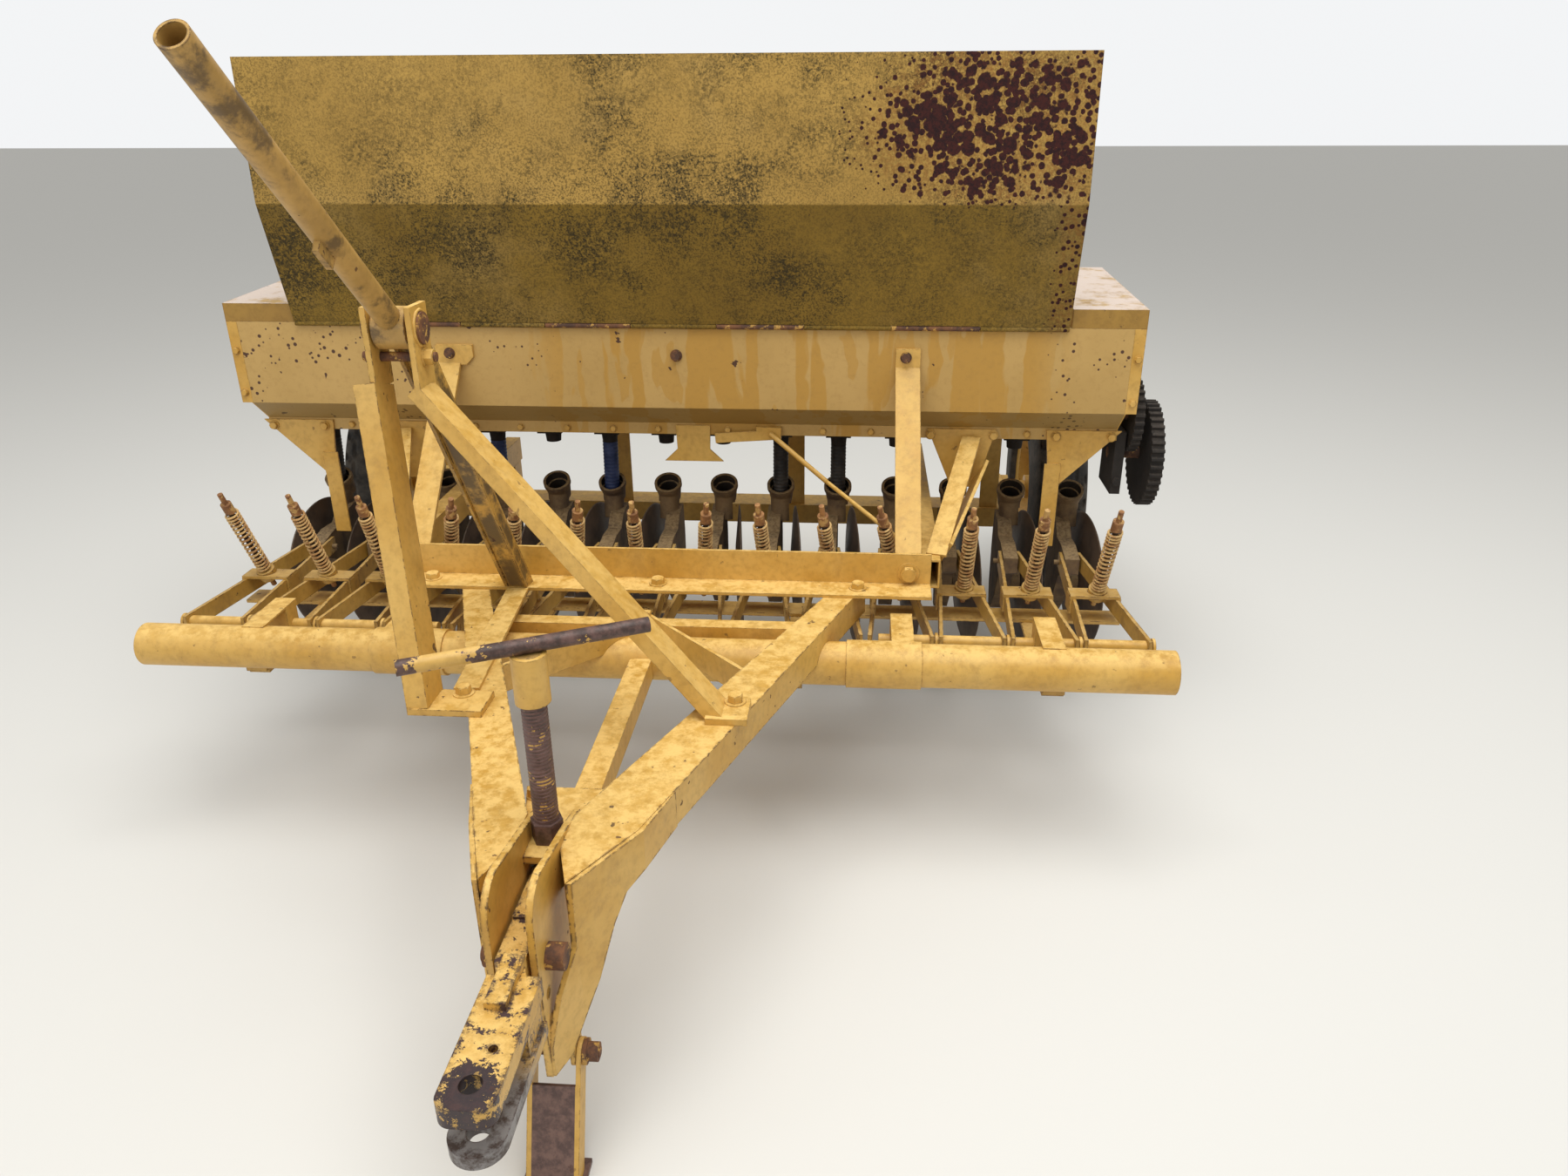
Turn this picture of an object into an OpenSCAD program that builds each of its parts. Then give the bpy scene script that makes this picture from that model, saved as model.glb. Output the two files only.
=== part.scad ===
// Trailed single-disc seed drill: fourteen sprung openers on drag arms under a raised seed box.
// Millimetres. X runs across the machine, Y from the hitch to the wheels, Z up.
// Modules are drawn with the ground at Z = 0 and the drag-arm rod at Y = 0.
// Each node is then moved so that the hitch pin bore is at the origin.

/* [Rows] */
// Number of sown rows
row_count = 14; // [10:2:16]
// Distance between two rows
row_pitch = 150; // [144:1:160]
// Height of the drag-arm rod above the ground
rod_height = 400; // [390:1:420]
// Diameter of the drag-arm rod
rod_d = 25; // [20:1:30]

/* [Main frame] */
// Outer diameter of the front tube
tube_d = 89; // [76:1:95]
// Wall of the front tube
tube_wall = 6; // [4:0.5:8]
// Distance of the front tube ahead of the drag-arm rod
tube_ahead = 120; // [115:1:135]
// Depth of the rectangular frame sections
beam_h = 65; // [60:1:70]
// Width of the rectangular frame sections
beam_w = 50; // [40:1:56]
// Width of a drawbar arm
arm_w = 58; // [50:1:64]
// Height of the top of the drawbar above the ground
drawbar_top = 485; // [480:1:492]
// Leg of the angle rail on the drawbar
rail_leg = 75; // [65:1:80]
// Thickness of the angle rail
rail_t = 7; // [5:0.5:9]
// Length of the angle rail
rail_length = 1176; // [1140:2:1220]

/* [Hitch] */
// Distance of the hitch pin ahead of the drag-arm rod
pin_ahead = 1196; // [1185:1:1210]
// Height of the middle of the hitch pin bore
pin_height = 372; // [366:1:378]
// Bore for the hitch pin
pin_bore = 28; // [22:0.5:32]
// Thickness of the lower clevis jaw
jaw_t = 20; // [16:1:24]
// Thickness of the upper clevis jaw
jaw_top_t = 30; // [24:1:34]
// Gap between the clevis jaws
jaw_gap = 46; // [42:1:50]
// Width of the clevis
jaw_w = 72; // [66:1:80]
// Thickness of an ear plate
ear_t = 10; // [8:0.5:12]
// Clear width between the ear plates
ear_gap = 50; // [48:1:54]
// Diameter of the tongue bolt
tongue_bolt_d = 24; // [20:1:26]

/* [Seed box] */
// Distance of the box end beyond the outer row
box_over = 58; // [46:1:70]
// Depth of the box from front to back
box_depth = 542; // [538:1:546]
// Height of the top edge of the box above the ground
box_top = 980; // [960:1:1000]
// Height of the box floor
floor_height = 735; // [731:1:740]
// Rise from the box floor to the lower fold of the front panel
fold_rise = 52; // [46:1:58]
// Depth of the lip below the floor
lip_h = 28; // [24:1:32]
// Distance that the lip stands in from the front panel
lip_in = 60; // [52:1:68]
// Distance of the front panel behind the drag-arm rod
box_front_y = 410; // [404:1:416]
// Distance of the rear beam's middle behind the rear panel's bottom lip
beam_behind_lip = 33; // [28:1:38]
// Sheet thickness of the box
sheet = 3; // [2:0.25:4]
// Distance of the lid end from the box end
lid_short = 145; // [138:1:152]
// First lid panel, from hinge to fold
lid_low = 278; // [270:1:286]
// Second lid panel, from fold to free edge
lid_high = 287; // [280:1:294]
// Lean of the first lid panel as it stands open
lid_lean = 15; // [12:1:17]
// Bend between the two lid panels
lid_bend = 17; // [14:1:19]
// width of the fold round the lid
lid_lip = 20; // [12:1:30]

/* [Openers] */
// Diameter of a disc blade
disc_d = 360; // [340:2:370]
// Thickness of a disc blade
disc_t = 5; // [4:0.5:6]
// Angle of a disc blade to the line of travel
disc_toe = 7; // [5:0.5:8]
// Distance of the disc centre behind the drag-arm rod
disc_y = 600; // [590:1:610]
// Height of the disc centre above the ground
disc_height = 290; // [280:1:300]
// Height of the seed funnel mouth
cup_height = 518; // [510:1:526]
// Distance of the seed funnel mouth behind the drag-arm rod
cup_y = 650; // [644:1:656]
// Outer diameter of the seed funnel
cup_d = 72; // [66:1:76]
// Height of a drag-arm flat
leg_h = 38; // [36:1:46]
// Thickness of a drag-arm flat
leg_t = 8; // [6:0.5:9]
// Outer diameter of a pressure spring
spring_d = 34; // [30:1:36]
// Wire of a pressure spring
wire_d = 6; // [5:0.5:7]
// Turns of a pressure spring
spring_coils = 17; // [14:1:20]
// Diameter of a spring rod
spring_rod_d = 12; // [10:0.5:14]

/* [Wheels] */
// Diameter of a ground wheel tyre
tyre_d = 700; // [680:2:712]
// Width of a tyre
tyre_w = 150; // [140:1:156]
// Distance between the two wheels
track = 2000; // [1990:2:2020]
// Distance of the wheel centres behind the drag-arm rod
axle_y = 1180; // [1175:1:1190]
// Rim diameter
rim_d = 406; // [396:2:410]

/* [Mast] */
// Height of the lever pivot above the ground
pivot_height = 1108; // [1100:1:1116]
// Distance of the lever pivot ahead of the drag-arm rod
pivot_ahead = 315; // [308:1:322]
// Distance of the lever pivot to the left of the middle
pivot_side = 338; // [334:1:342]
// Diameter of the lever pipe
lever_d = 42; // [36:1:48]
// Length of the lever from its pivot
lever_length = 620; // [560:5:680]
// Rise of the lever above level
lever_rise = 41; // [36:1:46]

/* [Hidden] */
$fn = 32;
eps = 0.01;
yellow = [0.80, 0.60, 0.14];
dull = [0.62, 0.50, 0.26];
rust = [0.42, 0.28, 0.20];
dark = [0.14, 0.13, 0.13];
steel = [0.45, 0.43, 0.40];
rubber = [0.10, 0.10, 0.11];
blue = [0.10, 0.16, 0.50];
half_rows = row_count / 2;
sown = row_count * row_pitch;
row0 = -(row_count - 1) * row_pitch / 2;
tube_half = sown / 2 + 14;
box_length = 2 * (box_over - row0);
lid_length = box_length - 2 * lid_short;
fold_height = floor_height + fold_rise;
tube_z = rod_height + 4;
front_strap_x = [-5.5 * row_pitch, -3.5 * row_pitch, 3.5 * row_pitch, 5.5 * row_pitch];
beam_y = -tube_ahead + tube_d / 2 + 2;
arm_rear_x = 420;
arm_front_x = ear_gap / 2 + ear_t + arm_w / 2 + 6;
arm_rear_y = 95;
arm_front_y = -860;
arm_slope = (arm_rear_x - arm_front_x) / (arm_rear_y - arm_front_y);
arm_angle = atan(arm_slope);
rail_y = 20;
rail_half = rail_length / 2;
upright_x = 534;
upright_w = 56;
upright_t = 8;
upright_bolt_z = box_top - 69;
side_beam_w = 40;
side_beam_x = rail_length / 2;
side_beam_z = disc_height + disc_d / 2 + 10;
box_mid_y = box_front_y + box_depth / 2;
box_rear_y = box_front_y + box_depth;
feed_y = cup_y + 14;
hopper_half = lid_length / 2 + 2;
lip_y = box_front_y + lip_in;
lip_low = floor_height - lip_h;
rear_beam_y = 2 * box_mid_y - lip_y + beam_behind_lip;
hinge_pin_d = 6;
hinge_y = box_front_y - 6;
hinge_z = box_top - 1;
lid_knuckle_count = 9;
pivot_x = -pivot_side;
pivot_y = -pivot_ahead;
lever_collar_w = 56;
mast_gap = lever_collar_w + 8;
mast_t = 10;
foot_left = -298;
foot_right = 214;
foot_y = -470;
mast_w = 70;
mast_ring_d = 52;
foot_t = 12;
head_x = -15;
ear_out = ear_gap / 2 + ear_t;
// corners of the web plate beside an arm in plan: the first two from the middle, the others from the ears' middle
web_x = [160, 129, 69, 39];
web_y = [-700, -800, -922, -985];
web_t = 8;
jaw_h = jaw_t + jaw_gap + jaw_top_t;
jaw_low = pin_height - jaw_h / 2;
tongue_y = -950;
tongue_z = pin_height + 12;
ear_low = 196;
stand_y = -925;
stand_z = 183;
stand_lean = 22;
stand_x = head_x + 24;
stand_w = 32;
screw_x = head_x;
screw_y = -790;
screw_d = 36;
handle_z = 775;
hub_d = 110;
axle_d = 20;
wheel_x = track / 2;
axle_z = tyre_d / 2;
gear_y = 548;
gear_z = floor_height - 79;
pinion_z = floor_height + 23;
pinion_y = 520;
// sideways lean of the spring rods at their tops, one value a row, counted from the left
rod_lean = [-14, -8, 0, 62, 52, 44, 12, 26, -13, -25, -50, 0, 4, 8];
rod_foot_y = 232;
rod_foot_z = rod_height - leg_h / 2 - 26;
rod_top_y = 128;
rod_top_z = 652;
seat_z = rod_height + leg_h / 2 + 10;
// rows whose rubber seed tube is still there, with its colour: 0 black, 1 blue
tube_rows = [[0, 0], [3, 1], [5, 1], [8, 0], [9, 0]];

function row_x(k) = row0 + k * row_pitch;
function side(k) = k < half_rows ? -1 : 1;
function lean(k) = k < len(rod_lean) ? rod_lean[k] : 0;
function arm_x(y) = arm_front_x + (y - arm_front_y) * arm_slope;

module at_pin() translate([0, pin_ahead, -pin_height]) children();

module bar(p, q, w, t, roll = 0) {
    d = q - p;
    n = norm(d);
    translate(p)
    rotate([0, -asin(d[2] / n), atan2(d[1], d[0])])
    rotate([roll, 0, 0])
    translate([0, -w / 2, -t / 2])
    cube([n, w, t]);
}

// flat bar that stands up, w wide along the machine and t thick
module post(p, q, w, t) {
    d = q - p;
    n = norm(d);
    translate(p)
    rotate([-asin(d[1] / n), atan2(d[0], d[2]), 0])
    translate([-t / 2, -w / 2, 0])
    cube([t, w, n]);
}

module rod(p, q, d) {
    v = q - p;
    n = norm(v);
    translate(p)
    rotate([0, acos(v[2] / n), atan2(v[1], v[0])])
    cylinder(h = n, d = d);
}

module both() {
    children();
    mirror([1, 0, 0]) children();
}

module along_x(p, l, d) translate(p) rotate([0, 90, 0]) cylinder(h = l, d = d);

// main frame

module tube_shape(d, half) along_x([-half, -tube_ahead, tube_z], 2 * half, d);

module front_tube() at_pin() color(yellow) {
    difference() {
        union() {
            tube_shape(tube_d, tube_half);
            both() along_x([412, -tube_ahead, tube_z], 150, tube_d + 8);
        }
        tube_shape(tube_d - 2 * tube_wall, tube_half + 1);
    }
    // straps that carry the drag-arm rod
    for (x = front_strap_x) difference() {
        translate([x - 23, -tube_ahead, tube_z - 4]) cube([46, tube_ahead + rod_d, tube_d / 2 + 6]);
        translate([x - 24, -tube_ahead, tube_z - 5]) cube([48, tube_ahead - rod_d, tube_d / 2 + 3]);
        tube_shape(tube_d, tube_half);
        along_x([x - 30, 0, rod_height], 60, rod_d);
        translate([x - 24, rod_d - 5, 0]) cube([48, 40, tube_z + 30]);
    }
}

module drag_rod() at_pin() color(yellow) {
    both() along_x([arm_rear_x + arm_w, 0, rod_height], tube_half - 10 - arm_rear_x - arm_w, rod_d);
    along_x([-arm_rear_x + arm_w, 0, rod_height], 2 * (arm_rear_x - arm_w), rod_d);
    for (k = [0 : row_count])
        if (abs(row0 + (k - 0.5) * row_pitch) > arm_rear_x + arm_w + 30)
            along_x([row0 + (k - 0.5) * row_pitch - 3, 0, rod_height], 6, rod_d + 10);
}

// both drawbar arms between two heights, each drawn out to a point beside its ear plate
module arm_pair(low, high) for (s = [-1, 1]) difference() {
    translate([0, 0, low])
    linear_extrude(high - low)
    polygon([
        [s * (arm_rear_x + arm_w / 2), arm_rear_y],
        [s * (arm_rear_x - arm_w / 2), arm_rear_y],
        [head_x + s * ear_out, arm_front_y + 90],
        [head_x + s * ear_out, arm_front_y + 10],
        [head_x + s * (ear_out + 25), web_y[2]],
        [s * (web_x[1] - web_t), web_y[1]]
    ]);
    tube_shape(tube_d, tube_half);
}

module drawbar_arms() at_pin() color(yellow) arm_pair(drawbar_top - beam_h, drawbar_top);

module cross_beam() at_pin() color(yellow)
    difference() {
        translate([-arm_x(beam_y), beam_y, drawbar_top - beam_h - 30])
        cube([2 * arm_x(beam_y), beam_w - 14, beam_h]);
        arm_pair(0, drawbar_top + 1);
        tube_shape(tube_d, tube_half);
    }

module angle_rail() at_pin() color(yellow) {
    translate([-rail_half, rail_y, drawbar_top]) cube([rail_length, rail_leg, rail_t]);
    translate([-rail_half, rail_y + rail_leg - rail_t, drawbar_top]) cube([rail_length, rail_t, rail_leg]);
}

module drawbar_braces() at_pin() color(yellow) {
    // knee plates from the middle post to the arms
    difference() {
        union() {
            both() translate([0, 0, drawbar_top - 58])
            linear_extrude(56)
            polygon([[2, -70], [2, -80], [262, -350], [262, -338]]);
            translate([-9, -90, drawbar_top - 60]) cube([18, 16, 66]);
        }
        arm_pair(0, drawbar_top + 1);
        tube_shape(tube_d, tube_half);
        translate([-arm_rear_x, beam_y, 0]) cube([2 * arm_rear_x, beam_w, drawbar_top - 30]);
    }
    // middle brace down to the screw plate
    difference() {
        bar([0, -86, drawbar_top - 84], [0, -640, drawbar_top - 82], 44, 44);
        tube_shape(tube_d, tube_half);
    }
    // strap from the rail to the left mast foot
    bar([-298, rail_y - 2, drawbar_top + 3.4], [-262, foot_y + 52, drawbar_top + 3.4], 46, 6.8);
}

// hitch head

module ear_outline() {
    difference() {
        union() {
            polygon([
                [-735, drawbar_top - 14], [-800, drawbar_top + 4], [-880, drawbar_top + 20], [-942, drawbar_top + 32],
                [tongue_y - 42, drawbar_top - 18], [tongue_y - 43, tongue_z], [tongue_y - 38, tongue_z - 100],
                [tongue_y - 35, ear_low], [tongue_y + 15, ear_low - 6], [-700, drawbar_top - beam_h - 12]
            ]);
            translate([tongue_y + 8, drawbar_top - 18]) circle(r = 50);
        }
        translate([tongue_y, tongue_z]) circle(d = tongue_bolt_d + 1);
        for (k = [1 : 3])
            translate([tongue_y - 15, tongue_z - 5 - 47 * k]) circle(d = 18);
    }
}

module ear_plate() rotate([90, 0, 90]) linear_extrude(ear_t) ear_outline();

module hitch_head() at_pin() color(yellow) {
    hitch_webs();
    screw_plate();
    ear_plates();
    // lugs for the parking stand: the right one stands out from its ear plate
    stand_lug(head_x - ear_out, ear_t);
    stand_lug(stand_x + stand_w - 8, 7);
    translate([head_x + ear_out, stand_y - 20, ear_low + 8])
    cube([stand_x + stand_w - head_x - ear_out - 1, 40, 10]);
}

module ear_plates() for (x = [head_x - ear_out, head_x + ear_gap / 2]) translate([x, 0, 0]) ear_plate();

module stand_lug(x, t) difference() {
    translate([x, stand_y, 0])
    rotate([90, 0, 90])
    linear_extrude(t)
    difference() {
        union() {
            translate([0, stand_z]) circle(d = 40);
            translate([-20, stand_z]) square([40, ear_low + 18 - stand_z]);
        }
        translate([0, stand_z]) circle(d = 17);
    }
    ear_plates();
}

// plan of a web plate from the arm's side to the low corner of its ear plate
module web_plan(s) polygon([
    [s * web_x[0], web_y[0]], [s * web_x[1], web_y[1]], [head_x + s * web_x[2], web_y[2]], [head_x + s * web_x[3], web_y[3]],
    [head_x + s * (web_x[3] - web_t), web_y[3]], [head_x + s * (web_x[2] - web_t), web_y[2]],
    [s * (web_x[1] - web_t), web_y[1]], [s * (web_x[0] - web_t), web_y[0]]
]);

module hitch_webs() for (s = [-1, 1]) difference() {
    intersection() {
        linear_extrude(drawbar_top - 1) web_plan(s);
        translate([-300, 0, 0]) rotate([90, 0, 90]) linear_extrude(600) polygon([
            [web_y[0], drawbar_top - 1], [web_y[2], drawbar_top - 1], [web_y[2] - 2, tongue_z - 8], [-960, tongue_z - 64],
            [web_y[3], tongue_z - 134], [web_y[3], ear_low + 2], [-952, ear_low + 8], [web_y[2], ear_low + 46],
            [-892, ear_low + 94], [-860, ear_low + 168], [-835, ear_low + 207], [web_y[1], drawbar_top - beam_h - 4],
            [web_y[0], drawbar_top - beam_h]
        ]);
    }
    arm_pair(0, drawbar_top + 1);
}

module screw_plate()
    difference() {
        translate([0, 0, drawbar_top - 2 * foot_t - 14])
        linear_extrude(foot_t)
        polygon([[-84, -664], [76, -664], [head_x + ear_gap / 2, -838], [head_x - ear_gap / 2, -838]]);
        arm_pair(0, drawbar_top);
        ear_plates();
        translate([screw_x, screw_y, 0]) cylinder(h = 1000, d = screw_d + 1);
    }

module screw_jack() at_pin() {
    color(rust) translate([screw_x, screw_y, tongue_z + 38.5]) cylinder(h = handle_z - tongue_z - 50, d = screw_d);
    color(yellow) translate([screw_x, screw_y, handle_z - 86]) cylinder(h = 74, d = screw_d + 14);
    color(rust) difference() {
        translate([screw_x, screw_y, drawbar_top - foot_t - 14]) cylinder(h = 34, d = ear_gap - 1, $fn = 6);
        translate([screw_x, screw_y, 0]) cylinder(h = 1000, d = screw_d - 1);
    }
    color(rust) translate([screw_x, screw_y, handle_z]) rotate([0, 0, 26]) along_x([-170, 0, 0], 340, 22);
}

module tongue() at_pin() difference() {
    color(yellow) union() {
        // lower jaw, round in front
        translate([0, 0, jaw_low]) linear_extrude(jaw_t) {
            translate([0, -pin_ahead]) circle(d = jaw_w);
            translate([-jaw_w / 2, -pin_ahead]) square([jaw_w, 170]);
        }
        // upper jaw, square in front with round corners
        translate([0, 0, jaw_low + jaw_t + jaw_gap]) linear_extrude(jaw_top_t) {
            translate([-jaw_w / 2, -pin_ahead - jaw_w / 2 + 20]) square([jaw_w, 150 + jaw_w / 2]);
            translate([20 - jaw_w / 2, -pin_ahead - jaw_w / 2]) square([jaw_w - 40, 60]);
            for (s = [-1, 1])
                translate([s * (jaw_w / 2 - 20), -pin_ahead - jaw_w / 2 + 20]) circle(r = 20);
        }
        translate([-jaw_w / 2 + 6, -pin_ahead + 110, jaw_low]) cube([jaw_w - 12, 60, jaw_h]);
        // packing strip on the upper jaw
        translate([-20, -pin_ahead + 110, jaw_low + jaw_h - 10]) cube([28, 86, 22]);
        // shank, straight between the ear plates and skewed ahead of them, so that it lifts clear
        translate([0, 0, tongue_z - 34]) linear_extrude(68) polygon([
            [-20, -pin_ahead + 160], [20, -pin_ahead + 160], [head_x + 20, tongue_y - 50], [head_x + 20, tongue_y + 40],
            [head_x - 20, tongue_y + 40], [head_x - 20, tongue_y - 50]
        ]);
        // tail below the screw
        translate([head_x - 20, tongue_y + 30, tongue_z - 20]) cube([40, screw_y + 26 - tongue_y - 30, 58]);
    }
    translate([0, -pin_ahead, 0]) cylinder(h = 1000, d = pin_bore);
    along_x([-100, tongue_y, tongue_z], 200, tongue_bolt_d + 0.16);
    translate([10, -pin_ahead + 52, pin_height]) cylinder(h = 200, d = 12);
}

module hitch_bolts() at_pin() color(rust) {
    stand_bolt();
    along_x([head_x - ear_out - 20, tongue_y, tongue_z], 2 * ear_out + 40, tongue_bolt_d);
    along_x([head_x - ear_out - 16, tongue_y, tongue_z], 16, 38);
    along_x([head_x + ear_out, tongue_y, tongue_z], 26, 38);
}

module parking_stand() at_pin() {
    l = stand_z / cos(stand_lean) + 30;
    color(yellow) for (x = [stand_x - stand_w - 7, stand_x + stand_w]) difference() {
        translate([x, stand_y, stand_z]) rotate([-stand_lean, 0, 0]) rotate([90, 0, 90]) linear_extrude(7)
        difference() {
            union() {
                circle(d = 40);
                translate([-20, -l]) square([32, l]);
            }
            circle(d = 16.16);
        }
        translate([-500, stand_y - 500, 8 - 200]) cube([1000, 1000, 200]);
    }
    color(rust) difference() {
        translate([stand_x, stand_y, stand_z]) rotate([-stand_lean, 0, 0])
        translate([-stand_w, -20, -l]) cube([2 * stand_w, 7, l - 44]);
        translate([-500, stand_y - 500, 8 - 200]) cube([1000, 1000, 200]);
    }
    color(rust) translate([stand_x - stand_w - 14, stand_y - stand_z * tan(stand_lean) - 42, 0])
    cube([2 * stand_w + 28, 78, 8]);
}

module stand_bolt() {
    a = head_x - ear_out;
    b = stand_x + stand_w + 7.3;
    along_x([a - 14, stand_y, stand_z], b - a + 38, 16);
    along_x([b, stand_y, stand_z], 6, 38);
    along_x([b + 6, stand_y, stand_z], 16, 28);
    along_x([a - 12, stand_y, stand_z], 12, 28);
}

// mast and lever

module mast_foot(a, b) translate([a, foot_y - 36, drawbar_top]) cube([b - a, 72, foot_t]);

// folded channel between two points, its web outermost
module channel_post(p, q, w, depth, t) difference() {
    translate([0, 0, 0]) post_box(p, q, w, depth, 0);
    post_box(p, q, w - 2 * t, depth, t);
}

module post_box(p, q, w, depth, inset) {
    d = q - p;
    translate(p)
    rotate([-asin(d[1] / norm(d)), atan2(d[0], d[2]), 0])
    translate([-depth - (inset > 0 ? 1 : 0), -w / 2, -inset])
    cube([depth - inset + (inset > 0 ? 1 : 0), w, norm(d) + 2 * inset]);
}

module mast_left_leg() at_pin() color(yellow) {
    x = pivot_x - mast_gap / 2;
    difference() {
        union() {
            channel_post([foot_left, foot_y, drawbar_top + 4], [x, pivot_y - 4, pivot_height - 92], mast_w, 38, 7);
            translate([x - mast_t, pivot_y - mast_w / 2, pivot_height - 98]) cube([mast_t, mast_w, 136]);
            mast_foot(foot_left - 38, foot_left + 92);
        }
        along_x([-1000, pivot_y + 2, pivot_height - 48], 1000, 17);
        along_x([-1000, pivot_y, pivot_height], 1000, mast_ring_d + 1);
        translate([-1000, -1000, drawbar_top - 100]) cube([2000, 2000, 100]);
    }
}

module mast_right_leg() at_pin() color(yellow) {
    x = pivot_x + mast_gap / 2;
    difference() {
        union() {
            channel_post([foot_right, foot_y, drawbar_top + 4], [x + 8, pivot_y - 4, pivot_height - 92], mast_w - 10, 26, 7);
            translate([x, pivot_y - mast_w / 2, pivot_height - 112]) cube([mast_t, mast_w, 150]);
            mast_foot(foot_right - 36, foot_right + 36);
        }
        along_x([-1000, pivot_y + 2, pivot_height - 48], 1000, 17);
        along_x([-1000, pivot_y, pivot_height], 1000, mast_ring_d + 1);
        translate([-1000, -1000, drawbar_top - 100]) cube([2000, 2000, 100]);
    }
}

module mast_brace() at_pin() color(yellow)
    difference() {
        bar([pivot_x + 4, pivot_y + 34, pivot_height - 20], [-300, rail_y + 30, drawbar_top + rail_t - 20], 50, 32);
        translate([-1000, -1000, 0]) cube([2000, 2000, drawbar_top + rail_t]);
        along_x([pivot_x - 60, pivot_y, pivot_height], 120, mast_ring_d + 30);
        bar([pivot_x + 4, pivot_y + 20, pivot_height - 40], [-300, rail_y + 16, drawbar_top + rail_t - 60], 38, 32);
    }

module mast_tube() at_pin() color(dull) {
    along_x([pivot_x - mast_gap / 2 - mast_t - 6, pivot_y, pivot_height], mast_gap + 2 * mast_t + 12, mast_ring_d);
    along_x([pivot_x - mast_gap / 2 - mast_t - 20, pivot_y + 2, pivot_height - 48], mast_gap + 2 * mast_t + 40, 16);
}

module lift_lever() at_pin()
    translate([pivot_x, pivot_y, pivot_height])
    difference() {
        color(yellow) union() {
            along_x([-lever_collar_w / 2, 0, 0], lever_collar_w, mast_ring_d + 18);
            rotate([-lever_rise, 0, 0]) rod([0, 0, 0], [0, -lever_length, 0], lever_d);
            rotate([-lever_rise, 0, 0]) translate([-5, -270, -38]) cube([10, 46, 26]);
        }
        along_x([-100, 0, 0], 200, mast_ring_d + 0.3);
        rotate([-lever_rise, 0, 0]) rod([0, -200, 0], [0, -lever_length - 1, 0], lever_d - 8);
    }

// seed box

module box_profile() polygon([
    [box_front_y, box_top], [box_front_y, fold_height], [lip_y, floor_height], [lip_y, lip_low],
    [2 * box_mid_y - lip_y, lip_low], [2 * box_mid_y - lip_y, floor_height],
    [box_rear_y, fold_height], [box_rear_y, box_top]
]);

module panel_profile() polygon([
    [box_front_y, box_top], [box_front_y, fold_height], [lip_y, floor_height], [lip_y, lip_low],
    [lip_y + sheet, lip_low], [lip_y + sheet, floor_height + sheet / 2],
    [box_front_y + sheet, fold_height + sheet / 2], [box_front_y + sheet, box_top - sheet],
    [box_front_y + 18, box_top - sheet], [box_front_y + 18, box_top]
]);

module box_panel() rotate([90, 0, 90])
    translate([0, 0, -box_length / 2]) linear_extrude(box_length) panel_profile();

module box_front() at_pin() color(yellow) box_panel();

module box_rear() at_pin() color(yellow)
    translate([0, 2 * box_mid_y, 0]) mirror([0, 1, 0]) box_panel();

module box_floor() at_pin() color(yellow)
    difference() {
        translate([-box_length / 2, lip_y + sheet, floor_height - sheet])
        cube([box_length, 2 * (box_mid_y - lip_y - sheet), sheet]);
        for (k = [0 : row_count - 1])
            translate([row_x(k) - 20, feed_y - 30, floor_height - 50]) cube([40, 60, 100]);
    }

module box_ends() at_pin() color(yellow) both() {
    translate([box_length / 2, 0, 0]) rotate([90, 0, 90]) linear_extrude(sheet)
    difference() {
        box_profile();
        translate([feed_y, floor_height - 48]) circle(d = 26);
    }
    for (m = [0, 1])
        translate([0, m * 2 * box_mid_y, 0]) mirror([0, m, 0])
        translate([box_length / 2 + sheet, box_front_y, fold_height]) cube([23, sheet, box_top - fold_height]);
}

module box_dividers() at_pin() color(yellow) both()
    translate([hopper_half, box_front_y + sheet, floor_height])
    rotate([90, 0, 90]) linear_extrude(sheet)
    polygon([
        [lip_in - sheet + 4, 0], [lip_in - sheet + 3.5, 2], [0.5, fold_height - floor_height + 3], [0.5, box_top - floor_height - sheet - 0.5],
        [box_depth - 2 * sheet - 0.5, box_top - floor_height - sheet - 0.5],
        [box_depth - 2 * sheet - 0.5, fold_height - floor_height + 3], [box_depth - lip_in - 2 * sheet - 0.5, 2],
        [box_depth - lip_in - 2 * sheet - 1, 0]
    ]);

module end_cover() {
    x0 = hopper_half + 4;
    w = box_length / 2 + 26 - x0;
    translate([x0, 0, 0]) rotate([90, 0, 90])
    difference() {
        linear_extrude(w) polygon([
            [box_front_y, box_top], [box_front_y, box_top + 42], [box_rear_y, box_top + 60], [box_rear_y, box_top]
        ]);
        translate([0, 0, sheet]) linear_extrude(w - 2 * sheet) polygon([
            [box_front_y + sheet, box_top - 1], [box_front_y + sheet, box_top + 42 - sheet],
            [box_rear_y - sheet, box_top + 60 - sheet], [box_rear_y - sheet, box_top - 1]
        ]);
    }
}

module end_covers() at_pin() color(yellow) both() end_cover();

module lid_knuckles(odd) for (i = [odd : 2 : lid_knuckle_count - 1])
    along_x([-lid_length / 2 + i * lid_length / lid_knuckle_count + 1, 0, 0], lid_length / lid_knuckle_count - 2, 12);

// places in the lid's section, y from its inner face and z from the hinge: on the lower and the upper panel
function lid_p(y, z) = [y * cos(lid_lean) - z * sin(lid_lean), y * sin(lid_lean) + z * cos(lid_lean)];
function lid_q(y, z) = lid_p(
    -sheet + y * cos(lid_bend) + z * sin(lid_bend),
    lid_low - y * sin(lid_bend) + z * cos(lid_bend)
);

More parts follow.
